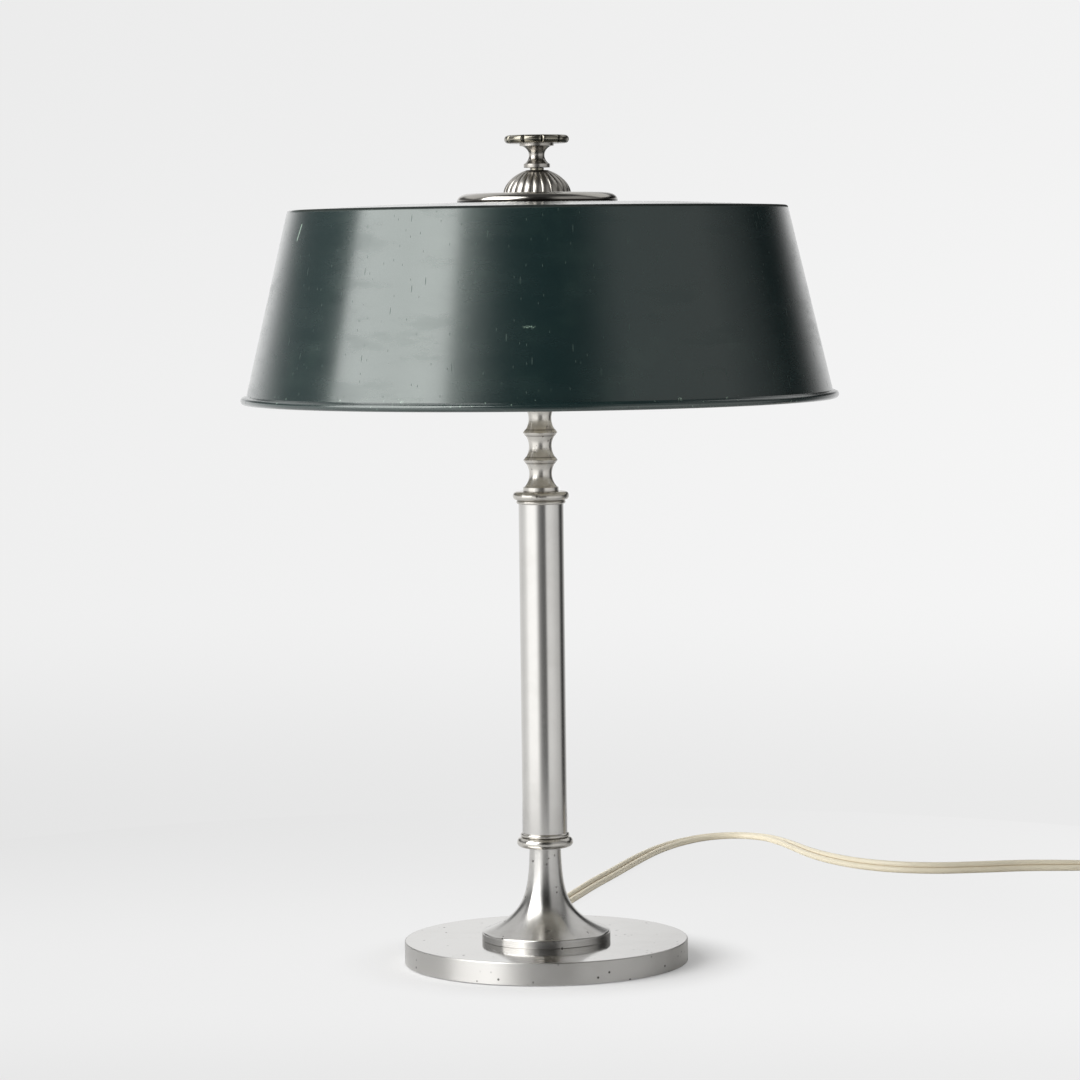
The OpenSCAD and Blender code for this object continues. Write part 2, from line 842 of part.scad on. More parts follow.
module switch_body() {
    color(phenolic)
        difference() {
            turned(switch_r, 0, switch_z, lid_z, $fn = 96);
            translate([0, 0, switch_z - 1])
                cylinder(r = switch_base_r + slip_gap, h = switch_floor + 1);
            translate([0, 0, switch_z])
                cylinder(r = switch_cavity_r, h = switch_h - switch_roof);
            translate([0, 0, lid_z - switch_roof - 1])
                cylinder(r = spindle_r + running_gap, h = switch_roof + 2);
            translate([-blade_w / 2 - slip_gap, -switch_r - 1, rotor_z + blade_inset - slip_gap])
                cube([blade_w + 2 * slip_gap, 2 * switch_r + 2, blade_t + 2 * slip_gap]);
            for (side = [-1, 1])
                translate([side * switch_screw_x, 0, lid_z - switch_screw_length])
                    cylinder(r = switch_screw_r + thread_gap, h = switch_screw_length + 1);
        }
}

// Plate that closes the switch from below.
module switch_base() {
    color(phenolic) turned(switch_base_r, 0, switch_z, switch_z + switch_floor);
}

module switch_screws() {
    color(steel)
        for (side = [-1, 1])
            translate([side * switch_screw_x, 0, 0]) {
                turned(switch_screw_r, 0, lid_z + screw_end_gap - switch_screw_length, lid_z + lid_t);
                turned(switch_screw_head_r, 0, lid_z + lid_t, lid_z + lid_t + switch_screw_head_t);
            }
}

// Four-lobed cam that snaps a quarter turn at a time.
module switch_rotor() {
    color(porcelain)
        difference() {
            intersection() {
                turned(rotor_tip_r, 0, rotor_z, rotor_z + rotor_h);
                union() {
                    turned(rotor_waist_r, 0, rotor_z, rotor_z + rotor_h);
                    for (turn = [0, 90])
                        rotate([0, 0, turn + 45])
                            translate([-rotor_tip_r, -rotor_lobe_w / 2, rotor_z])
                                cube([2 * rotor_tip_r, rotor_lobe_w, rotor_h]);
                }
            }
            translate([-rotor_socket / 2, -rotor_socket / 2, rotor_z - 1])
                cube([rotor_socket, rotor_socket, rotor_h + 2]);
        }
}

// Two L-shaped contact blades beside the cam, with their tails out through the wall.
module switch_blades() {
    color(brass)
        for (side = [0, 180])
            rotate([0, 0, side]) {
                translate([-blade_w / 2, blade_y, rotor_z + blade_inset])
                    cube([blade_w, blade_t, blade_h]);
                translate([-blade_w / 2, blade_y, rotor_z + blade_inset])
                    cube([blade_w, switch_r - blade_y + blade_tail, blade_t]);
            }
}

// Rod from the cam up through the hanger tube to the knob. Its lower end is square where the cam
// sits on it, and riveted over below the cam.
module switch_spindle() {
    color(steel)
        difference() {
            union() {
                turned(spindle_rivet_r, 0, rotor_z - spindle_rivet_t, rotor_z);
                translate([-spindle_square / 2, -spindle_square / 2, rotor_z])
                    cube([spindle_square, spindle_square, rotor_h]);
                turned(spindle_r, 0, rotor_z + rotor_h, spindle_top);
            }
            translate([0, 0, knob_screw_z - 1])
                cylinder(r = knob_screw_r + thread_gap, h = spindle_top - knob_screw_z + 2);
        }
}

// ---- Lampholders: each is drawn along +Z from the boss and then laid on its side ----

module on_side(side) {
    translate([side * boss_x, 0, holder_z])
        rotate([0, side * 90, 0])
            children();
}

module nipple(side) {
    color(steel)
        on_side(side)
            threaded_tube(nipple_inset - nipple_h, nipple_inset);
}

// Cone threaded on the nipple, with a spigot that the shell goes over.
module holder_cap(side) {
    spigot_r = holder_r - holder_wall - slip_gap;
    inner_r = spigot_r - holder_wall;
    color(dark_pewter)
        on_side(side)
            rotate_extrude($fn = 96)
                polygon([
                    [tapped_r, 0], [cap_nose_r, 0], [holder_r, cap_cone_h], [holder_r, cap_shoulder_h],
                    [spigot_r, cap_shoulder_h], [spigot_r, cap_rim_h], [inner_r, cap_rim_h],
                    [inner_r, cap_cone_h], [cap_nose_r - 1, cap_nose_t], [tapped_r, cap_nose_t]
                ]);
}

// Shell with a crimp that holds the core down and a rolled mouth.
module holder_shell(side) {
    color(dark_pewter)
        on_side(side)
            rotate_extrude($fn = 96)
                difference() {
                    union() {
                        translate([holder_r - holder_wall, cap_shoulder_h])
                            square([holder_wall, holder_h - cap_shoulder_h]);
                        translate([holder_r - holder_wall - shell_crimp, cap_rim_h + core_t])
                            square([holder_wall + shell_crimp, shell_crimp]);
                        translate([holder_r, holder_h - mouth_bead_r])
                            circle(r = mouth_bead_r);
                    }
                    translate([0, cap_rim_h + core_t + shell_crimp])
                        square([holder_r - holder_wall, holder_h]);
                }
}

module holder_core(side) {
    color(porcelain)
        on_side(side)
            difference() {
                union() {
                    turned(core_r, 0, cap_rim_h, cap_rim_h + core_t);
                    turned(core_boss_r, 0, cap_rim_h + core_t, cap_rim_h + core_t + core_boss_t);
                }
                translate([0, 0, cap_rim_h - 1])
                    cylinder(r = rivet_r + slip_gap, h = core_t + core_boss_t + 2);
                for (y = [-1, 1])
                    translate([0, y * core_hole_y, cap_rim_h - 1])
                        cylinder(r = core_hole_r, h = core_t + core_boss_t + 2);
            }
}

module holder_thread(side) {
    color(brass)
        on_side(side)
            turned(thread_sleeve_r, thread_sleeve_r - thread_sleeve_t,
                cap_rim_h + core_t, cap_rim_h + core_t + thread_sleeve_h);
}

module holder_contact(side) {
    seat = cap_rim_h + core_t + core_boss_t;
    color(brass)
        on_side(side) {
            turned(rivet_r, 0, cap_rim_h - contact_tail, seat);
            turned(contact_r, 0, seat, seat + contact_t);
            turned(contact_pip_r, 0, seat + contact_t, bulb_tip);
        }
}

module bulb_cap(side) {
    cone_h = 4;
    color(steel)
        on_side(side)
            rotate_extrude()
                polygon([
                    [0, bulb_tip], [4, bulb_tip], [5, bulb_tip + 1], [bulb_cap_r - 2, bulb_tip + cone_h],
                    [bulb_cap_r, bulb_tip + cone_h], [bulb_cap_r, bulb_tip + bulb_cap_h],
                    [0, bulb_tip + bulb_cap_h]
                ]);
}

// Half-outline of the bulb, shrunk by a wall for its inside.
module bulb_outline(wall) {
    neck_z = bulb_tip + bulb_cap_h;
    ball_r = bulb_d / 2;
    ball_z = bulb_tip + bulb_h - ball_r;
    intersection() {
        union() {
            translate([0, ball_z])
                circle(r = ball_r - wall, $fn = 96);
            polygon([
                [0, neck_z + wall], [bulb_neck_r - wall, neck_z + wall],
                [ball_r * 0.76 - wall, ball_z - ball_r * 0.62], [0, ball_z]
            ]);
        }
        translate([0, neck_z + wall])
            square([ball_r, bulb_h]);
    }
}

module bulb_glass(side) {
    color(opal)
        on_side(side)
            rotate_extrude($fn = 96)
                difference() {
                    bulb_outline(0);
                    bulb_outline(bulb_glass_t);
                }
}

// ---- Shade and what clamps it ----

module hanger_tube() {
    color(steel) threaded_tube(hanger_z, hanger_top);
}

module spindle_bush() {
    color(dark_pewter) turned(bush_r, spindle_r + running_gap, bush_top - bush_h, bush_top);
}

module shade_seat() {
    color(brass) {
        turned(seat_flange_r, tapped_r, seat_z, seat_z + seat_flange_t);
        turned(seat_hub_r, tapped_r, seat_z - seat_hub_h, seat_z);
    }
}

// Cone with its lower edge rolled round a wire and its upper edge turned in to a narrow lip.
module shade_cone() {
    out = [cos(lean_angle), sin(lean_angle)];
    bend = edge_c + shade_edge_r * out;
    reach = 2 * shade_edge_r;
    color(lacquer)
        rotate_extrude($fn = 256) {
            difference() {
                polygon([
                    [shade_foot_r, shade_z], bend, bend - shade_t * out,
                    [shade_foot_r - shade_t / out[0], shade_z]
                ]);
                translate([shade_rim_c, shade_z])
                    circle(r = rim_wire_r + slip_gap);
            }
            translate(edge_c)
                intersection() {
                    difference() {
                        circle(r = shade_edge_r);
                        circle(r = shade_edge_r - shade_t);
                    }
                    polygon([[0, 0], reach * out, [reach, reach], [0, reach]]);
                }
            translate([shade_lip_r, shade_top_z - shade_t])
                square([edge_c[0] - shade_lip_r, shade_t]);
            difference() {
                translate([shade_rim_c, shade_z])
                    circle(r = shade_rim_r);
                translate([shade_rim_c, shade_z])
                    circle(r = rim_wire_r + slip_gap);
            }
        }
}

// Crowned plate, flat under the cap, with its rim stepped down under the cone's lip.
module shade_top() {
    step_r = shade_lip_r - seam_gap;
    crown = [for (i = [0:plate_steps]) let (s = i / plate_steps)
        [plate_flat_r + (step_r - plate_flat_r) * s, plate_top_z - shade_crown * s * s]];
    top_edge = concat([[tube_hole_r, plate_top_z]], crown,
        [[step_r, shade_top_z - shade_t], [plate_rim_r, shade_top_z - shade_t]]);
    step_i = len(top_edge) - 3;
    under = [for (i = [len(top_edge) - 1:-1:0])
        let (inward = i == step_i || i == step_i + 1 ? shade_t : 0)
            top_edge[i] - [inward, shade_t]];
    color(lacquer)
        rotate_extrude($fn = 256)
            polygon(concat(top_edge, under));
}

module rim_wire() {
    color(steel)
        rotate_extrude($fn = 180)
            translate([shade_rim_c, shade_z])
                circle(r = rim_wire_r);
}

// Disc with a flat-oval upper edge and a shallow recess below, so that it bears at its rim.
module cap_disc() {
    land_r = cap_r - cap_land_w;
    recess_r = seat_hub_r + 1;
    edge = [for (i = [0:cap_edge_steps]) let (a = 90 * i / cap_edge_steps)
        [cap_r - cap_edge_w * (1 - cos(a)), cap_h - cap_edge_h * (1 - sin(a))]];
    under = [
        [tube_hole_r, cap_h], [tube_hole_r, 0], [recess_r, 0], [recess_r, cap_recess_h],
        [land_r, cap_recess_h], [land_r, 0], [cap_r, 0]
    ];
    color(pewter)
        translate([0, 0, cap_z])
            rotate_extrude($fn = 128)
                polygon(concat(edge, under));
}

// Domed nut of round flutes that narrow to the flat top, hollow for its threaded insert.
module fluted_dome() {
    skin = [for (i = [0:dome_rings])
        let (h = dome_h * sin(90 * i / dome_rings),
            share = pow(1 - pow(h / dome_full_h, dome_bulge), dome_fullness))
        [dome_r * share, dome_z + h, flute_depth * pow(share, 0.8)]];
    inside = [
        [bush_r + slip_gap, dome_top_z, 0], [bush_r + slip_gap, hanger_top, 0],
        [insert_r, hanger_top, 0], [insert_r, dome_z, 0]
    ];
    color(pewter)
        rotate([0, 0, 90])
            lobed_solid(concat(skin, inside), flute_count, flute_steps, false);
}

module dome_insert() {
    color(brass) turned(insert_r - slip_gap, tapped_r, dome_z, dome_z + insert_h);
}

// ---- Knob ----

module knob_spool() {
    head_z = knob_disc_z - spool_head_t;
    waist_r = spool_waist_d / 2;
    color(dark_pewter)
        difference() {
            rotate_extrude($fn = 96)
                difference() {
                    union() {
                        plain_stretch(knob_z, head_z, spool_body_r);
                        plain_stretch(head_z, knob_disc_z, spool_head_r);
                    }
                    translate([waist_r + spool_cove_r, spool_cove_z])
                        circle(r = spool_cove_r);
                }
            translate([0, 0, knob_z - 1])
                cylinder(r = spindle_r + slip_gap, h = spindle_top - knob_z + 1);
            translate([0, 0, knob_z])
                cylinder(r = knob_screw_r + loose_gap, h = spool_h + 1);
        }
}

// Half-outline of a plain turned stretch from z0 to z1.
module plain_stretch(z0, z1, r) {
    translate([0, z0])
        square([r, z1 - z0]);
}

// Scalloped disc: broad petals with rounded edges and narrow grooves between them.
module knob_disc() {
    edge_r = knob_t / 2;
    rim_c = knob_r - edge_r;
    face_r = 0.6 * rim_c;
    head_hole_r = knob_screw_head_r + slip_gap;
    screw_hole_r = knob_screw_r + slip_gap;
    rim = [for (i = [0:knob_edge_steps]) let (a = -90 + 180 * i / knob_edge_steps)
        [rim_c + edge_r * cos(a), knob_disc_z + edge_r + edge_r * sin(a),
            petal_depth * (0.35 + 0.65 * cos(a))]];
    hole = [
        [face_r, knob_disc_z + knob_t, 0], [head_hole_r, knob_disc_z + knob_t, 0],
        [head_hole_r, knob_screw_top, 0], [screw_hole_r, knob_screw_top - knob_screw_sink, 0],
        [screw_hole_r, knob_disc_z, 0], [face_r, knob_disc_z, 0]
    ];
    color(dark_pewter)
        rotate([0, 0, knob_turn])
            lobed_solid(concat(rim, hole), petal_count, petal_steps, true);
}

module knob_screw() {
    color(steel)
        rotate_extrude()
            polygon([
                [0, knob_screw_z], [knob_screw_r, knob_screw_z],
                [knob_screw_r, knob_screw_top - knob_screw_sink],
                [knob_screw_head_r, knob_screw_top], [0, knob_screw_top]
            ]);
}

// ---- Cord, coil and plug ----

module mains_cord() {
    color(flex_ivory) flex_tube(route);
}

// Bar across the coil's section at the tie's place, grown or shrunk on all four sides.
module tie_bar(length, growth) {
    translate([coil_x, coil_y, 0])
        rotate([0, 0, tie_angle])
            translate([coil_mid_r, 0, coil_h / 2])
                cube([2 * turn_w + 2 * growth, length, coil_h + 2 * growth], center = true);
}

module cord_coil() {
    color(flex_ivory)
        difference() {
            translate([coil_x, coil_y, 0])
                rotate_extrude($fn = 128)
                    polygon([
                        [coil_inner_r + coil_chamfer, 0], [coil_outer_r - coil_chamfer, 0],
                        [coil_outer_r, coil_chamfer], [coil_outer_r, coil_h - coil_chamfer],
                        [coil_outer_r - coil_chamfer, coil_h], [coil_inner_r + coil_chamfer, coil_h],
                        [coil_inner_r, coil_h - coil_chamfer], [coil_inner_r, coil_chamfer]
                    ]);
            difference() {
                tie_bar(tie_w + 2 * slip_gap, 2);
                tie_bar(tie_w + 2, -tie_t - slip_gap);
            }
        }
}

// Band round the coil, sunk flush into it.
module coil_tie() {
    color(iron)
        difference() {
            tie_bar(tie_w, 0);
            tie_bar(tie_w + 2, -tie_t);
        }
}

module plug_lead() {
    color(flex_ivory) flex_tube(lead_route);
}

// Flat two-pin plug lying on the table, its tapered strain relief towards the coil.
module plug_body() {
    color(flex_ivory)
        translate([plug_x, plug_y, plug_z])
            union() {
                translate([0, 0, -plug_t / 2])
                    linear_extrude(height = plug_t)
                        polygon([
                            [-relief_root_w / 2, 0], [-plug_shoulder_w / 2, -plug_shoulder_h],
                            [-plug_face_w / 2, -plug_cheek_h], [-plug_face_w / 2, -plug_length],
                            [plug_face_w / 2, -plug_length], [plug_face_w / 2, -plug_cheek_h],
                            [plug_shoulder_w / 2, -plug_shoulder_h], [relief_root_w / 2, 0]
                        ]);
                rotate([-90, 0, 0])
                    hull() {
                        linear_extrude(height = hull_end_t)
                            obround(relief_root_w, relief_root_t, $fn = 24);
                        translate([0, 0, relief_h - hull_end_t])
                            linear_extrude(height = hull_end_t)
                                obround(relief_tip_w, relief_tip_t, $fn = 24);
                    }
            }
}

module plug_pins() {
    color(brass)
        for (side = [-1, 1])
            translate([plug_x + side * pin_spacing / 2, plug_y - plug_length, plug_z])
                rotate([90, 0, 0])
                    cylinder(r = pin_r, h = pin_length);
}

// ---- Assembly ----

felt_pad();
base_cover();
cover_screws();
ballast_disc();
base_shell();
base_nut();
base_washer();
cord_bush();
flared_foot();
lower_collar();
column_tube();
upper_collar();
turned_stem();
lamp_tube();
inner_flex();
cluster_body();
cluster_nut();
cluster_lid();
nipple(-1);  // nipple_left
nipple(1);  // nipple_right
holder_cap(-1);  // holder_cap_left
holder_cap(1);  // holder_cap_right
holder_shell(-1);  // holder_shell_left
holder_shell(1);  // holder_shell_right
holder_core(-1);  // holder_core_left
holder_core(1);  // holder_core_right
holder_thread(-1);  // holder_thread_left
holder_thread(1);  // holder_thread_right
holder_contact(-1);  // holder_contact_left
holder_contact(1);  // holder_contact_right
bulb_cap(-1);  // bulb_cap_left
bulb_cap(1);  // bulb_cap_right
bulb_glass(-1);  // bulb_glass_left
bulb_glass(1);  // bulb_glass_right
switch_body();
switch_base();
switch_screws();
switch_rotor();
switch_blades();
switch_spindle();
hanger_tube();
spindle_bush();
shade_seat();
shade_cone();
shade_top();
rim_wire();
cap_disc();
fluted_dome();
dome_insert();
knob_spool();
knob_disc();
knob_screw();
mains_cord();
cord_coil();
coil_tie();
plug_lead();
plug_body();
plug_pins();
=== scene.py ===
"""Bouillotte table lamp: studio, turned metal pieces, lacquered shade, knob and mains cord."""

from __future__ import annotations

import logging
import math
from dataclasses import dataclass, field
from enum import Enum
from typing import Any, Callable, Mapping, Sequence

import bpy
import numpy as np
from mathutils import Euler, Matrix, Vector


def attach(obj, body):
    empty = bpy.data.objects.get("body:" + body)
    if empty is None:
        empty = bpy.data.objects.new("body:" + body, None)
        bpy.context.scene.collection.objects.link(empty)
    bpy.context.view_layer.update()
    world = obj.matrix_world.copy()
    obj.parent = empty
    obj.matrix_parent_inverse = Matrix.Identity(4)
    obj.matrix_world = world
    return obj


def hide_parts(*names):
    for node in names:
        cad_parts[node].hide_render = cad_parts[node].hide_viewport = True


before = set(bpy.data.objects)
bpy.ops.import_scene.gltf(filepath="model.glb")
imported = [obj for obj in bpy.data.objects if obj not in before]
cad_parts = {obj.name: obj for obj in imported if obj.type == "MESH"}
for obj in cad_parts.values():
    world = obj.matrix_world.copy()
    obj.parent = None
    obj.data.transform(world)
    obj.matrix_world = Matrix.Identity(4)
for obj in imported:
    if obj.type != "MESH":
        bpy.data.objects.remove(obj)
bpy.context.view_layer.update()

LOG = logging.getLogger("lamp")
MM = 0.001
TURN = 2.0 * math.pi
TUBE_HOLE = 5.1
Rgb = tuple[float, float, float]
Point = tuple[float, float]


class Body(Enum):
    """The two parts of the lamp that move against each other."""

    LAMP = "lamp"
    KNOB = "knob"


# ---------------------------------------------------------------- shader wiring


def _pair(operation: str, swapped: bool = False) -> Callable[["Signal", Any], "Signal"]:
    """Makes the method of Signal that adds a Math node for two values.

    Args:
        operation: The node's operation.
        swapped: Whether the other value comes first.

    Returns:
        The method.
    """

    def method(self: "Signal", other: Any) -> "Signal":
        """Adds the node and returns its value."""
        values = (other, self) if swapped else (self, other)
        return self.math(operation, *values)

    return method


class Signal:
    """An output socket of a shader node, on which arithmetic adds Math nodes.

    a.most(b) is the larger of two values, and a.angle_from(b) the angle whose tangent is a over b.
    """

    def __init__(self, recipe: "Recipe", socket: bpy.types.NodeSocket) -> None:
        """Wraps a socket.

        Args:
            recipe: The material or world that the socket belongs to.
            socket: The output socket.
        """
        self.recipe = recipe
        self.socket = socket

    def math(self, operation: str, *values: Any) -> "Signal":
        """Adds one Math node and returns its value."""
        settings = {"operation": operation}
        return self.recipe.add("ShaderNodeMath", settings, dict(enumerate(values)))[0]

    __add__ = _pair("ADD")
    __radd__ = _pair("ADD", True)
    __sub__ = _pair("SUBTRACT")
    __rsub__ = _pair("SUBTRACT", True)
    __mul__ = _pair("MULTIPLY")
    __rmul__ = _pair("MULTIPLY", True)
    __truediv__ = _pair("DIVIDE")
    __rtruediv__ = _pair("DIVIDE", True)
    __pow__ = _pair("POWER")
    __rpow__ = _pair("POWER", True)
    most = _pair("MAXIMUM")
    angle_from = _pair("ARCTAN2")

    def __neg__(self) -> "Signal":
        """The value with its sign changed."""
        return self.math("MULTIPLY", self, -1.0)

    def __abs__(self) -> "Signal":
        """The value without its sign."""
        return self.math("ABSOLUTE", self)

    def sine(self) -> "Signal":
        """Sine of an angle in radians."""
        return self.math("SINE", self)

    def ramp(self, low: float, high: float, start: float = 0.0, end: float = 1.0) -> "Signal":
        """Eases from one value to another while this one goes from low to high.

        Args:
            low: Value at which the change begins.
            high: Value at which it ends; it may be below low.
            start: Result at low.
            end: Result at high.

        Returns:
            The eased value.
        """
        if high < low:
            low, high, start, end = high, low, end, start
        node = self.recipe.add(
            "ShaderNodeMapRange",
            {"interpolation_type": "SMOOTHSTEP", "clamp": True},
            {0: self, 1: low, 2: high, 3: start, 4: end},
        )
        return node[0]

    def within(self, full: float, none: float) -> "Signal":
        """1 while this value is up to full, easing to 0 at none."""
        return self.ramp(full, none, 1.0, 0.0)


class Added:
    """A node that a recipe has added, whose outputs are read by name or number."""

    def __init__(self, recipe: "Recipe", node: bpy.types.Node) -> None:
        """Wraps a node of a recipe."""
        self.recipe = recipe
        self.node = node

    def __getitem__(self, key: int | str) -> Signal:
        """An output of the node."""
        return Signal(self.recipe, self.node.outputs[key])


class Recipe:
    """A node tree being written: it adds nodes, sets them and links them."""

    def __init__(self, tree: bpy.types.NodeTree) -> None:
        """Empties a node tree for use.

        Args:
            tree: The tree of a material or of the world.
        """
        tree.nodes.clear()
        self.tree = tree

    def add(self, kind: str, settings: Mapping[str, Any], inputs: Mapping[Any, Any]) -> Added:
        """Adds one node.

        Args:
            kind: Type name of the node.
            settings: Its properties, set first; "stops" holds a ramp's positions and colours.
            inputs: Numbers, colours or Signals for its sockets, by name or number.

        Returns:
            The node, whose outputs can be read by name or number.
        """
        node = self.tree.nodes.new(kind)
        for name, value in settings.items():
            if name == "stops":
                self._set_stops(node.color_ramp, value)
            else:
                setattr(node, name, value)
        for key, value in inputs.items():
            socket = node.inputs[key]
            if isinstance(value, Signal):
                self.tree.links.new(value.socket, socket)
            elif isinstance(value, tuple) and len(value) == 3 and len(socket.default_value) == 4:
                socket.default_value = (*value, 1.0)
            else:
                socket.default_value = value
        return Added(self, node)

    @staticmethod
    def _set_stops(ramp: bpy.types.ColorRamp, stops: Sequence[tuple[float, Rgb]]) -> None:
        """Gives a colour ramp its stops, in rising order."""
        while len(ramp.elements) > 1:
            ramp.elements.remove(ramp.elements[-1])
        ramp.elements[0].position = stops[0][0]
        for place, _ in stops[1:]:
            ramp.elements.new(place)
        for element, (_, colour) in zip(ramp.elements, stops):
            element.color = (*colour, 1.0)

    def place(self) -> Signal:
        """Position on the lamp in metres."""
        return self.add("ShaderNodeTexCoord", {}, {})["Object"]

    def seen(self) -> Signal:
        """1 on what the camera sees directly, 0 on what only lights or shows in the lamp."""
        return self.add("ShaderNodeLightPath", {}, {})["Is Camera Ray"]

    def join(self, x: Any, y: Any, z: Any = 0.0) -> Signal:
        """Vector of three values."""
        return self.add("ShaderNodeCombineXYZ", {}, {0: x, 1: y, 2: z})[0]

    def parts(self, vector: Signal) -> tuple[Signal, Signal, Signal]:
        """The three values of a vector."""
        node = self.add("ShaderNodeSeparateXYZ", {}, {0: vector})
        return node[0], node[1], node[2]

    def noise(
        self,
        vector: Signal,
        scale: float,
        detail: float = 2.0,
        roughness: float = 0.5,
        extra: Any = None,
    ) -> Signal:
        """Noise from about 0.2 to 0.8 round 0.5.

        Args:
            vector: Where it is read.
            scale: Lumps for each unit of the vector.
            detail: Number of finer layers.
            roughness: Weight of the finer layers.
            extra: A fourth coordinate, if the pattern needs one.

        Returns:
            The noise value.
        """
        inputs: dict[Any, Any] = {
            "Vector": vector, "Scale": scale, "Detail": detail, "Roughness": roughness,
        }
        if extra is not None:
            inputs["W"] = extra
        settings = {"noise_dimensions": "3D" if extra is None else "4D"}
        return self.add("ShaderNodeTexNoise", settings, inputs)["Fac"]

    def mix(self, factor: Any, first: Any, second: Any) -> Signal:
        """Blends two colours.

        Args:
            factor: 0 gives the first and 1 the second.
            first: A colour or a Signal.
            second: A colour or a Signal.

        Returns:
            The blended colour.
        """
        settings = {"data_type": "RGBA", "blend_type": "MIX", "clamp_factor": True}
        return self.add("ShaderNodeMix", settings, {0: factor, 6: first, 7: second})[2]

    def bump(self, height: Signal, depth: float, strength: float = 1.0) -> Signal:
        """Normal of a surface raised by a height.

        Args:
            height: Height from 0 to 1.
            depth: Height of 1 in metres.
            strength: How much of it shows.

        Returns:
            The bent normal.
        """
        values = {"Strength": strength, "Distance": depth, "Height": height}
        return self.add("ShaderNodeBump", {}, values)["Normal"]


@dataclass(frozen=True)
class Finish:
    """What a surface is made of; each kind writes its own recipe."""

    name: str

    def material(self) -> bpy.types.Material:
        """The material of this finish, made when it is first asked for.

        Returns:
            The Blender material.
        """
        known = bpy.data.materials.get(self.name)
        if known is not None:
            return known
        made = bpy.data.materials.new(self.name)
        made.use_nodes = True
        recipe = Recipe(made.node_tree)
        shader = recipe.add("ShaderNodeBsdfPrincipled", {}, self.write(recipe))
        recipe.add("ShaderNodeOutputMaterial", {}, {"Surface": shader["BSDF"]})
        return made

    def write(self, recipe: Recipe) -> dict[str, Any]:
        """Writes the pattern nodes of this finish.

        Args:
            recipe: The tree that takes the nodes.

        Returns:
            Values and Signals for the shader's sockets.
        """
        raise NotImplementedError


